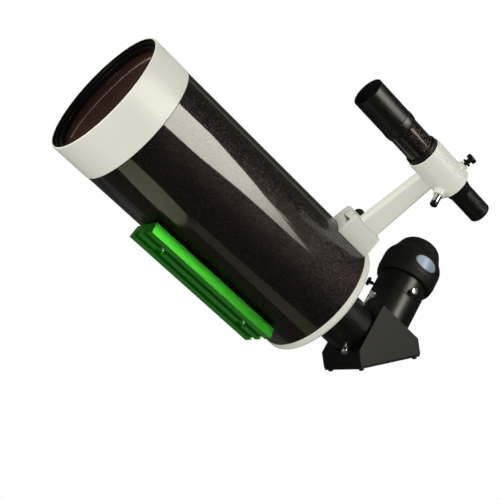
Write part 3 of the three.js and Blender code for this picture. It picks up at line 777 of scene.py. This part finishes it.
def make_dovetail_bar():
    wide, thick = BAR_HIGH.x, BAR_HIGH.z
    narrow = wide - thick * math.tan(math.radians(15))
    rib, leg, groove = 4.5, 12, 4.5
    half = [(rib, 0), (rib, groove), (leg, groove), (leg, 0), (wide, 0), (narrow, thick)]
    start = Matrix.Translation((0, BAR_HIGH.y, 0)) @ LENGTHWAYS
    bar = prism(mirrored(half), BAR_HIGH.y - BAR_LOW.y, start)
    tools = []
    for side in (-1, 1):
        place = bar_screw_place(side)
        tools += [rod(2.9, 8, thick + 1, place, 32), rod(5.2, -1, 8.5, place, 48)]
    stand_for(bevelled(carved(bar, *tools), 0.35), "dovetail_bar", GREEN)

    screw = [(0, 3), (4.0, 3, 0.3), (4.4, 3.5, 0.2), (4.4, 8.2, 0.2), (2.5, 8.2, 0.1), (2.5, 21), (0, 21)]
    for end, side in (("front", -1), ("rear", 1)):
        socket_screw(f"dovetail_screw_{end}", bar_screw_place(side), screw, (2, 5), CHROME, 4.0)

    plate = slab(22, 2 * SCREW_OFFSET + 20, 3, Matrix.Translation((0, 0, 19.6)))
    holes = [rod(2.8, 16, 23, bar_screw_place(side), 32) for side in (-1, 1)]
    stand_for(bevelled(carved(plate, *holes), 0.3), "dovetail_nut_plate", ALUMINIUM)


# ---- Finder's foot and bracket ----

SHOE_FRONT, SHOE_REAR = 273.5, 316
SHOE_SIDE = 15  # the shoe's side that is flush with the stalk
SHOE_WALL_TOP, SHOE_LOW_TOP = 95.5, 92.5
STALK_Y = 298
ADJUST_Y = 313
ADJUST_TURNS = {"outer": 0, "upper": -90}
PLUNGER_TURN = 135  # opposite both adjusting screws
RING_FRONT, RING_REAR = 271.5, 323
RING_R, RING_BORE_R = 19.3, 18.0


def lengthwise(outline, start, end):
    """An outline in the foot's (across, outward) plane, pushed along the tube."""
    return prism(outline, end - start, TURNED @ Matrix.Translation((0, end, 0)) @ LENGTHWAYS)


def make_finder_shoe():
    low = [(-19, 66), (SHOE_SIDE, 66), (SHOE_SIDE, SHOE_WALL_TOP), (-14, SHOE_WALL_TOP)]
    outline = low + [(-14, SHOE_LOW_TOP), (-17.5, 90), (-19, 84)]
    block = cast([lengthwise(outline, SHOE_FRONT, SHOE_REAR)], 0.4, 4)
    half = [(8.7, 97), (8.7, 88.5), (10.9, 82.5)]
    groove = mirrored(half)
    above = [(8.7, SHOE_LOW_TOP), (8.7, 97), (-20, 97), (-20, SHOE_LOW_TOP)]
    end = [(SHOE_REAR, 77), (SHOE_REAR + 3, 77), (SHOE_REAR + 3, 98), (SHOE_REAR - 4.8, 98)]
    across = TURNED @ Matrix.Translation((-25, 0, 0)) @ about("Z", 90) @ about("X", 90)
    fixing = outward(TURNED, STALK_Y, 0)
    clamp = outward(TURNED @ Matrix.Translation((0, 0, 90)), 293.5, -90)
    tools = [
        rod(TUBE_R + GAP, 0, LENGTH, TUBE, 192),
        lengthwise(groove, SHOE_FRONT - 5, SHOE_REAR + 5),
        lengthwise(above, SHOE_FRONT - 5, SHOE_REAR + 5),
        rod(2.2, 6, 22, clamp, 32),
        rod(2.6, 60, 85, fixing, 32),
        rod(5, 76.4, 85, fixing, 48),
        prism(end, 50, across),
    ]
    stand_for(carved(block, *tools), "finder_shoe", WHITE)
    screw = [(0, 66), (2.2, 66), (2.2, 76.6, 0.1), (4.4, 76.6), (4.4, 78.6, 0.5), (0, 78.6)]
    socket_screw("finder_shoe_screw", fixing, screw, (77.2, 80), CHROME)
    thumbscrew("finder_shoe_thumbscrew", clamp, (1.9, 9), 19.5, (3.2, 20.6), (6.5, 27), GREY, 20, 0.7)


def make_stalk():
    """A bar that leans from the shoe's side to the middle of the finder, and narrows as it rises."""
    rows = []
    for side, front, rear, up in ((SHOE_SIDE, 279.8, 307.2, 90), (6, 286.5, 308.5, 172)):
        near = [(side - 3, front), (side, front + 3), (side, rear - 2), (side - 2, rear)]
        far = [(side - 10, rear), (side - 12, rear - 2), (side - 12, front + 3), (side - 9, front)]
        rows.append([TURNED @ Vector((x, y, up)) for x, y in near + far])
    return skinned(rows)


def make_finder_bracket():
    shell = ring(RING_BORE_R - 3, RING_R, RING_FRONT, RING_REAR, FINDER, 96)
    adjusters = [outward(FINDER, ADJUST_Y, turn) for turn in ADJUST_TURNS.values()]
    plunger = outward(FINDER, ADJUST_Y, PLUNGER_TURN)
    bosses = [rod(5.2, 16, 22.6, place) for place in adjusters]
    bosses.append(rod(6.2, 16, 24, plunger))
    casting = cast([shell, *bosses, make_stalk()], 0.6, 6)
    half = [(10.5, 83), (8.4, 88.7), (8.4, SHOE_LOW_TOP)]
    foot = lengthwise(mirrored(half), SHOE_FRONT + 1, SHOE_FRONT + 37)
    casting = joined(casting, foot)
    wall_space = slab(20, 60, 20, TURNED @ Matrix.Translation((18.4, 295, SHOE_WALL_TOP + GAP - 10)))
    pocket = lengthwise([(-8, 82.9), (8.9, 88), (11.5, 82.9)], SHOE_FRONT - 1, SHOE_FRONT + 8)
    tools = [wall_space, pocket, rod(RING_BORE_R, RING_FRONT - 2, RING_REAR + 2, FINDER, 128)]
    tools += [rod(2.3, 15, 26, place, 32) for place in adjusters]
    tools.append(rod(4.4, 15, 28, plunger, 48))
    stand_for(carved(casting, *tools), "finder_bracket", WHITE)


def make_adjusting_screws():
    profile = [
        (0, 15.6),
        (2, 15.6, 0.6),
        (2, 24.2, 0.1),
        (4.6, 24.2, 0.3),
        (4.6, 26.2, 0.4),
        (2.6, 26.8, 0.3),
        (2.6, 29, 0.3),
        (5.2, 29.4, 0.3),
        (5.6, 30, 0.2),
        (5.6, 33.2, 0.3),
        (4.9, 34, 0.3),
        (0, 34),
    ]
    grip = (30.1, 33.1, 18, 0.4)
    for side, turn in ADJUST_TURNS.items():
        screw = turned(profile, outward(FINDER, ADJUST_Y, turn), 108, grip)
        stand_for(screw, f"finder_adjust_screw_{side}", SATIN)


def make_plunger():
    place = outward(FINDER, ADJUST_Y, PLUNGER_TURN)
    housing = [
        (2.3, 18.2),
        (4.1, 18.2, 0.2),
        (4.1, 32.8, 0.2),
        (3.8, 33.1, 0.1),
        (4.1, 33.4, 0.2),
        (4.1, 36.6, 0.8),
        (3.2, 37.5, 0.4),
        (0, 37.5),
        (0, 35.5),
        (3.2, 35.5),
        (3.2, 22),
        (2.3, 22),
    ]
    shell = turned(housing, place, 64)
    stand_for(shell, "plunger_housing", CHROME, SATIN)
    refinish(shell, place, lambda p: p.y > 33.1)
    tip = 17.4
    pin = [
        (0, tip),
        (1.5, tip, 0.3),
        (1.9, tip + 0.6, 0.2),
        (1.9, 22.4, 0.1),
        (2.8, 22.4, 0.2),
        (2.8, 24.4, 0.2),
        (0, 24.4),
    ]
    stand_for(turned(pin, place, 48), "plunger_pin", CHROME)
    spring = coil(2.2, 0.35, 25.2, 34.6, 5, place)
    stand_for(spring, "plunger_spring", CHROME)
    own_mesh(spring)


def make_finder_rubber_ring():
    front, rear = RING_FRONT - 6, RING_FRONT + 6
    bead = [(16.4, front), (17.8, front + 0.6, 0.8), (17.8, front + 5.1, 0.5)]
    sleeve = [(17.2, front + 5.4, 0.1), (17.2, rear), (16.4, rear)]
    stand_for(turned(bead + sleeve, FINDER), "finder_rubber_ring", RUBBER)


# ---- Finder ----


def make_finder_tube():
    profile = [
        (14.6, 226.6),
        (16.1, 226.6),
        (16.1, 279, 1),
        (15.3, 281, 1),
        (15.3, 318),
        (14.2, 318),
        (14.2, 281, 1),
        (14.6, 279, 1),
    ]
    tube = turned(profile, FINDER, 128)
    stand_for(tube, "finder_tube", SPARKLE, MATTE)
    refinish(tube, FINDER, lambda p: from_axis(p) < 14.8)


def make_finder_front():
    cell = [
        (13.6, 225.6),
        (13.6, 223.6),
        (14.9, 223.6),
        (14.9, 217),
        (15.6, 217),
        (15.6, 224.3, 0.1),
        (17.1, 224.3, 0.25),
        (17.5, 228, 3),
        (17.6, 232, 2),
        (16.9, 236, 0.8),
        (16.4, 236, 0.1),
        (16.4, 225.6),
    ]
    stand_for(turned(cell, FINDER, 128), "finder_objective_cell", SATIN)
    shade = [(15.9, 180.5, 0.35), (17.15, 180.5, 0.5), (17.15, 224, 0.25), (15.9, 224)]
    hood = turned(shade, FINDER, 128)
    stand_for(hood, "finder_dew_shade", SATIN, MATTE)
    refinish(hood, FINDER, lambda p: from_axis(p) < 16)
    lens = lens_face(218, 14.6, -1.4, 0, 14.6) + lens_face(222.4, 14.6, 0.8, 0, 14.6)[::-1]
    stand_for(turned(lens, FINDER), "finder_objective_lens", GLASS)


def make_finder_rear():
    barrel = [
        (12.6, 303),
        (13.8, 303),
        (13.8, 318.4),
        (15.3, 318.4, 0.3),
        (15.3, 321, 0.5),
        (12.2, 335, 1.5),
        (11.9, 336.4, 1),
        (11.9, 370.4, 2.4),
        (8.6, 370.4, 0.4),
        (8.6, 368.4),
        (10, 368.4),
        (10, 336),
        (12.6, 322),
    ]
    stand_for(turned(barrel, FINDER, 128), "finder_eyepiece_barrel", SATIN)
    lens = lens_face(364.4, 9.7, -1, 0, 9.7) + [(9.7, 368, 0.2), (0, 368)]
    stand_for(turned(lens, FINDER), "finder_eye_lens", GLASS)
    reticle = ring(8.3, 9.7, 344.4, 345.8, FINDER, 64, 0.15)
    place = FINDER @ Matrix.Translation((0, 345, 0))
    bars = [slab(width, 0.5, height, place) for width, height in ((17, 0.3), (0.3, 17))]
    stand_for(joined(reticle, *bars), "finder_reticle", MATTE)


# ---- Star diagonal ----
# In the frame FOLD, y runs rearwards and z up to the eyepiece.

HALF = 31.0  # half of each open side of the body
CUT = 12.4  # the corners cut off at 45 degrees
WIDTH = 64.6
PLATE = 2.0
COVER_OUTER = CUT * math.sqrt(2)  # the long side's depth behind the mirror's face
COVER_INNER = COVER_OUTER - 3
COVER_FACE = COVER_OUTER + 2.4  # the cover stands proud of the side plates
SLOPE = FOLD @ about("X", 45)  # -Z points out of the long side
COVER_SCREWS = ((-26, -39.6), (26, -39.6), (-26, 39.6), (26, 39.6))


def sideways(width, x):
    """The diagonal's outline as a plate centred on x."""
    outline = [(-HALF, HALF), (-HALF, -HALF), (-HALF + CUT, -HALF - CUT)]
    outline += [(HALF + CUT, HALF - CUT), (HALF, HALF)]
    across = Matrix.Translation((x - width / 2, 0, 0)) @ about("Z", 90) @ about("X", 90)
    return prism(outline, width, FOLD @ across)


def sloped(width, length, near, far):
    """A block laid along the mirror's slope, between two depths behind the mirror's face."""
    return slab(width, length, far - near, SLOPE @ Matrix.Translation((0, 0, -(near + far) / 2)))


def behind(x, along):
    """A frame on the slope whose +Y points out through the cover."""
    return SLOPE @ Matrix.Translation((x, along, 0)) @ about("X", -90)


def make_diagonal_body():
    width = WIDTH - 2 * (PLATE + GAP)
    body = sideways(width, 0)
    tools = [
        rod(23, -HALF - 1, 0, FOLD),
        rod(23, 0, HALF + 1, COLUMN),
        sloped(50, 74, -0.5, 30),
        sloped(WIDTH, 140, COVER_INNER - GAP, 40),
    ]
    tools += [rod(1.7, COVER_INNER - 9, COVER_INNER + 1, behind(x, y), 24) for x, y in COVER_SCREWS]
    stand_for(bevelled(carved(body, *tools), 0.3), "diagonal_body", SATIN)
    plates = {"right": WIDTH / 2 - PLATE / 2, "left": PLATE / 2 - WIDTH / 2}
    for side, x in plates.items():
        stand_for(bevelled(sideways(PLATE, x), 0.45), f"diagonal_side_plate_{side}", GREY)


def make_diagonal_cover():
    width = WIDTH - 2 * (PLATE + GAP)
    pad = sloped(40, 60, 12.8, COVER_INNER + 0.5)
    length = 2 * HALF * math.sqrt(2) + 1.6
    plate = joined(sloped(width, length, COVER_INNER, COVER_FACE), pad)
    holes = [rod(1.8, COVER_INNER - 3, COVER_FACE + 3, behind(x, y), 24) for x, y in COVER_SCREWS]
    stand_for(bevelled(carved(plate, *holes), 0.4), "diagonal_cover", SATIN)
    screw = [
        (0, COVER_INNER - 6),
        (1.4, COVER_INNER - 6, 0.1),
        (1.4, COVER_FACE + GAP, 0.1),
        (2.8, COVER_FACE + GAP, 0.1),
        (2.8, COVER_FACE + 1.4, 0.4),
        (1.8, COVER_FACE + 2.4, 0.6),
        (0, COVER_FACE + 2.4),
    ]
    for number, (x, along) in enumerate(COVER_SCREWS, 1):
        socket = (COVER_FACE + 1, COVER_FACE + 3)
        socket_screw(f"cover_screw_{number}", behind(x, along), screw, socket, SATIN, 1.6)


def make_diagonal_mirror():
    stand_for(bevelled(sloped(48, 70, 0, 12.4), 0.4), "diagonal_mirror", MIRROR)


def make_nosepiece():
    end = -HALF - GAP
    profile = [
        (23, -71),
        (24.9, -71, 0.4),
        (25.4, -70.4, 0.3),
        (25.4, end - 4.4, 0.1),
        (28.4, end - 4.4, 0.4),
        (28.4, end, 0.3),
        (23, end),
    ]
    nose = turned(profile, FOLD, 128)
    stand_for(nose, "diagonal_nosepiece", CHROME, SATIN)
    refinish(nose, FOLD, lambda p: p.y > end - 4.5 or from_axis(p) < 23.2)


# ---- Eyepiece ----

HOLDER_R = 28.7
HOLDER_TOP = 64.4
COLLAR_TOP = 86.5
CAP_R = 34.4


def from_rear(degrees):
    """A turn about the column, measured from the rear towards +X."""
    return 180 - degrees


def make_holder():
    foot = HALF + GAP
    holder = [
        (23, foot),
        (HOLDER_R, foot, 0.3),
        (HOLDER_R, HOLDER_TOP, 0.5),
        (27.2, HOLDER_TOP),
        (27.2, HOLDER_TOP + 3),
        (25.8, HOLDER_TOP + 3),
        (25.8, foot + 6),
        (23, foot + 6),
    ]
    stand_for(turned(holder, COLUMN, 128), "eyepiece_holder", SATIN)
    collar = [
        (27.5, HOLDER_TOP + GAP),
        (HOLDER_R, HOLDER_TOP + GAP, 0.5),
        (HOLDER_R, COLLAR_TOP, 0.6),
        (25.8, COLLAR_TOP),
        (25.8, HOLDER_TOP + 3.4),
        (27.5, HOLDER_TOP + 3.4),
    ]
    screw_y = 70.3
    side = outward(COLUMN, screw_y, from_rear(97))
    front = outward(COLUMN, screw_y, from_rear(-145))
    holes = [rod(2, 24, 32, place, 32) for place in (side, front)]
    stand_for(carved(turned(collar, COLUMN, 128), *holes), "eyepiece_lock_collar", SATIN)
    thumbscrew("holder_thumbscrew_side", side, (1.6, 25.7), 29.6, (2.6, 31), (4.4, 35.6), CHROME)
    thumbscrew("holder_thumbscrew_front", front, (1.6, 25.7), 30, (2.2, 33.4), (5, 37.4), SATIN)


def make_eyepiece():
    body = [
        (22, 42),
        (25.4, 42, 0.6),
        (25.4, COLLAR_TOP + GAP, 0.1),
        (27.4, COLLAR_TOP + GAP, 0.5),
        (27.4, 104, 1),
        (24.6, 108, 0.6),
        (20, 108, 0.4),
        (20, 104),
        (22, 102),
    ]
    barrel = turned(body, COLUMN, 128)
    stand_for(barrel, "eyepiece_body", SATIN, CHROME)
    refinish(barrel, COLUMN, lambda p: from_axis(p) > 24 and p.y < COLLAR_TOP)
    field = lens_face(62, 21.6, -3, 0, 21.6) + lens_face(66, 21.6, 2, 0, 21.6)[::-1]
    stand_for(turned(field, COLUMN), "eyepiece_field_lens", GLASS)
    eye = lens_face(99, 19.6, -1.5, 0, 19.6) + [(19.6, 103.6, 0.2), (0, 103.6)]
    stand_for(turned(eye, COLUMN), "eyepiece_eye_lens", GLASS)
    cup = [
        (20.6, 108.4),
        (24.6, 108.4, 0.8),
        (25.4, 112, 2),
        (24.4, 124, 4),
        (21.4, 132, 0.7),
        (20, 132, 0.7),
        (22.6, 124, 4),
        (22.6, 112, 2),
    ]
    stand_for(turned(cup, COLUMN, 128), "eyecup", RUBBER)


def make_dust_cap():
    inside = [
        (0, 141.5),
        (18, 138.6, 2),
        (22.6, 131, 3),
        (26.6, 121.8, 3),
        (29.6, 115.5, 3),
        (31.2, 110, 3),
        (31.2, 101, 3),
        (28.6, 92, 2),
        (28.2, 87.2, 0.3),
    ]
    outside = [
        (31, 87.2, 0.6),
        (32.4, 88, 0.6),
        (33.9, 92.3, 0.6),
        (33.4, 93.2, 0.5),
        (CAP_R, 95.5, 1.5),
        (CAP_R, 112, 4),
        (33.3, 118, 4),
        (28.6, 124.8, 4),
        (25.4, 133, 4),
        (23.2, 138, 3),
        (19, 142.2, 3),
        (11, 144.8, 4),
        (0, 145.5),
    ]
    stand_for(turned(inside + outside, COLUMN, 160), "dust_cap", RUBBER)


def make_cap_badge():
    """A plain oval plate with a raised rim, wrapped round the cap's side, without any mark."""
    middle_turn, height, half_wide, half_high = from_rear(101), 108, 14.4, 7.3
    # Ovals from the edge inwards: a share of the plate's size, and a height above the cap.
    rim = [(1.0, -0.3), (1.0, 0.35), (0.95, 0.55), (0.87, 0.55), (0.82, 0.25)]
    levels = rim + [(0.5, 0.25), (0.2, 0.25), (0.01, 0.25)]
    sides = 72
    rows = []
    for share, rise in levels:
        row = []
        for step in range(sides):
            angle = 2 * math.pi * step / sides
            turn = math.radians(middle_turn) + share * half_wide * math.cos(angle) / CAP_R
            radius = CAP_R + rise
            up = height + share * half_high * math.sin(angle)
            point = Vector((radius * math.sin(turn), up, radius * math.cos(turn)))
            row.append(COLUMN @ point)
        rows.append(row)
    add_on(skinned(rows), "cap_badge", "cap", PALE)


# ---- Camera and lights ----

AIM = Vector((34.3, 8.0, 52.6)) * MM
DISTANCE = 1.25  # metres, as is LIGHT_REACH
LIGHT_REACH = 1.6
AZIMUTH, ELEVATION, ROLL = 63.05, -25.17, 31.0
FOCAL_LENGTH = 88.97  # on a 36 mm sensor
WARM = (1, 0.958, 0.84)
OLIVE = (1, 0.985, 0.68)


def make_camera():
    a, e = math.radians(AZIMUTH), math.radians(ELEVATION)
    back = Vector((math.sin(a) * math.cos(e), -math.cos(a) * math.cos(e), math.sin(e)))
    data = bpy.data.cameras.new("camera")
    data.sensor_width = 36
    data.lens = FOCAL_LENGTH
    camera = bpy.data.objects.new("camera", data)
    camera.location = AIM + back * DISTANCE
    camera.rotation_mode = "QUATERNION"
    level = (-back).to_track_quat("-Z", "Y")
    camera.rotation_quaternion = level @ Quaternion((0, 0, 1), math.radians(ROLL))
    bpy.context.scene.collection.objects.link(camera)
    bpy.context.scene.camera = camera
    return camera


def glowing(name, color, strength):
    """A black surface that glows by the strength times its own share."""
    made = bpy.data.materials.new(name)
    made.use_nodes = True
    surface = made.node_tree.nodes["Principled BSDF"]
    surface.inputs["Base Color"].default_value = (0, 0, 0, 1)
    surface.inputs["Emission Color"].default_value = (*color, 1)
    share = made.node_tree.nodes.new("ShaderNodeAttribute")
    share.attribute_name = "share"
    power = made.node_tree.nodes.new("ShaderNodeMath")
    power.operation = "MULTIPLY"
    power.inputs[1].default_value = strength
    made.node_tree.links.new(share.outputs["Fac"], power.inputs[0])
    made.node_tree.links.new(power.outputs["Value"], surface.inputs["Emission Strength"])
    return made


def on_tube(along, turn):
    """A point on the tube's side, and the way it faces."""
    normal = (TURNED.to_3x3() @ about("Y", turn - FINDER_TURN).to_3x3()) @ Vector((0, 0, 1))
    return (TUBE @ Vector((0, along, 0)) + normal * TUBE_R) * MM, normal


def on_lens(turn, radius):
    """A point on the corrector's hollow front face, and the way it faces."""
    sphere = (CLEAR_R**2 + LENS_HOLLOW**2) / (2 * LENS_HOLLOW)
    centre = Vector((0, LENS_FRONT - math.sqrt(sphere**2 - CLEAR_R**2), 0))
    around = about("Y", turn) @ Vector((0, 0, radius))
    point = centre + Vector((around.x, math.sqrt(sphere**2 - radius**2), around.z))
    return (TUBE @ point) * MM, TUBE.to_3x3() @ (centre - point).normalized()


def lens_arc():
    """Rows for a thin strip round a circle that lies a little off the corrector's middle."""
    across, up, radius, width = 10.7, -7.7, 62.1, 2.2
    rows = []
    for turn in range(-133, 22, 7):
        ahead = across * math.sin(math.radians(turn)) + up * math.cos(math.radians(turn))
        out = ahead + math.sqrt(radius**2 - across**2 - up**2 + ahead**2)
        rows.append((turn, out - width / 2, out + width / 2, min(1, 0.6 + (turn + 133) / 250)))
    return rows


def softbox(name, camera, surface, corners, strength, color):
    """A glowing panel, placed where the surface reflects it to the camera.

    corners is a strip across the surface: each has a first place, two second places and a
    share of the strength.
    """
    reach = 1.3  # metres from the surface
    shape = bmesh.new()
    rows, shares = [], []
    for first, one, other, share in corners:
        row = []
        shares += [share, share]
        for second in (one, other):
            point, normal = surface(first, second)
            sight = (point - camera.location).normalized()
            row.append(shape.verts.new(point + sight.reflect(normal) * reach))
        rows.append(row)
    for one, two in zip(rows, rows[1:]):
        shape.faces.new((one[0], one[1], two[1], two[0]))
    panel = mesh_object(shape)
    panel.name = name
    glow = panel.data.attributes.new("share", "FLOAT", "POINT")
    glow.data.foreach_set("value", shares)
    panel.data.materials.append(glowing(name, color, strength))
    panel.visible_camera = False
    panel.visible_shadow = False
    panel.visible_diffuse = False
    return panel


def area_light(name, direction, power, size, glossy=False):
    """A square light that faces the object. Unless glossy, it isn't seen in reflections."""
    data = bpy.data.lights.new(name, "AREA")
    data.energy = power
    data.size = size
    data.color = (1, 0.985, 0.95)
    light = bpy.data.objects.new(name, data)
    away = Vector(direction).normalized()
    light.location = AIM + away * LIGHT_REACH
    light.rotation_mode = "QUATERNION"
    light.rotation_quaternion = (-away).to_track_quat("-Z", "Y")
    light.visible_glossy = glossy
    light.visible_camera = False
    bpy.context.scene.collection.objects.link(light)
    return light


def make_world():
    """White behind the object, a soft grey glow on it, and dark surroundings in reflections."""
    world = bpy.data.worlds.new("studio")
    bpy.context.scene.world = world
    world.use_nodes = True
    tree = world.node_tree
    background = tree.nodes["Background"]
    path = tree.nodes.new("ShaderNodeLightPath")
    shade = tree.nodes.new("ShaderNodeMapRange")
    shade.inputs["To Min"].default_value = 0.05
    shade.inputs["To Max"].default_value = 0.36
    tree.links.new(path.outputs["Is Diffuse Ray"], shade.inputs["Value"])
    brightest = tree.nodes.new("ShaderNodeMath")
    brightest.operation = "MAXIMUM"
    tree.links.new(path.outputs["Is Camera Ray"], brightest.inputs[0])
    tree.links.new(shade.outputs["Result"], brightest.inputs[1])
    tree.links.new(brightest.outputs["Value"], background.inputs["Strength"])
    background.inputs["Color"].default_value = (1, 1, 1, 1)


def make_floor():
    """A pale floor, seen only from above."""
    half, height = 6.0, -0.0005  # metres
    corners = ((-half, -half), (half, -half), (half, half), (-half, half))
    shape = bmesh.new()
    shape.faces.new([shape.verts.new((x, y, height)) for x, y in corners])
    floor = mesh_object(shape)
    floor.name = "floor"
    look = Finish("pale_floor", (0.86, 0.86, 0.85), 0.6)
    look.put("Base Color", look.blend(look.noise(60), (0.84, 0.84, 0.83), (0.88, 0.88, 0.87)))
    look.put("Alpha", look.spread(look.node("NewGeometry").outputs["Backfacing"], 1, 0, 0, 1))
    floor.data.materials.append(look.material)
    if floor.data.polygons[0].normal.z < 0:
        floor.data.flip_normals()
    floor.visible_shadow = False
    floor.visible_diffuse = False
    floor.visible_glossy = False


def make_studio():
    camera = make_camera()
    main = [
        (0, 80, 106, 1),
        (47, 83, 104.5, 1),
        (92, 82.5, 103.5, 0.95),
        (141, 85.7, 100.3, 0.9),
        (180, 89.5, 99, 0.66),
        (250, 96.5, 97.5, 0.1),
    ]
    softbox("main_softbox", camera, on_tube, main, 12.5, WARM)
    low_front = [(10, 141, 153, 0.9), (80, 141, 157, 1.25), (125, 143, 158, 1)]
    softbox("low_front_softbox", camera, on_tube, low_front, 1.15, OLIVE)
    low_rear = [(135, 142, 149, 0.75), (200, 141, 149, 0.7), (330, 138, 150, 1)]
    softbox("low_rear_softbox", camera, on_tube, low_rear, 0.45, OLIVE)
    high = [(20, 49, 53, 1), (200, 50, 55, 1), (330, 52, 57, 1)]
    softbox("high_softbox", camera, on_tube, high, 0.25, OLIVE)
    softbox("lens_strip", camera, on_lens, lens_arc(), 1.3, WARM)
    area_light("front_light", (0.25, -0.9, -0.1), 9, 1.0)
    area_light("side_light", (0.85, 0.1, 0.1), 5.8, 1.2)
    area_light("top_light", (-0.2, 0.1, 0.95), 9, 1.4)
    area_light("side_fill", (0.6, 0.4, 0.7), 5, 1.2)
    area_light("rear_strip", (-0.75, -0.55, 0.35), 5, 0.5)
    area_light("rear_fill", (-0.5, 0.8, 0.3), 6, 1.2)
    area_light("under_light", (-0.8, 0.4, -0.43), 0.15, 0.7, True)
    area_light("left_fill", (0.2, -0.5, -0.85), 7.5, 1.4)
    area_light("edge_light", (0.1, -0.87, -0.48), 5, 0.5, True)
    area_light("screw_light", (0.801, 0.377, 0.463), 0.1, 0.1, True)
    make_world()
    make_floor()
    bpy.context.scene.view_settings.view_transform = "Standard"


make_tube()
make_front_cell()
make_corrector()
make_baffles()
make_rear_cell()
make_collimation_screws()
make_primary_mirror()
make_focuser()
make_visual_back()
make_dovetail_bar()
make_finder_shoe()
make_finder_bracket()
make_adjusting_screws()
make_plunger()
make_finder_rubber_ring()
make_finder_tube()
make_finder_front()
make_finder_rear()
make_diagonal_body()
make_diagonal_cover()
make_diagonal_mirror()
make_nosepiece()
make_holder()
make_eyepiece()
make_dust_cap()
make_cap_badge()
make_studio()
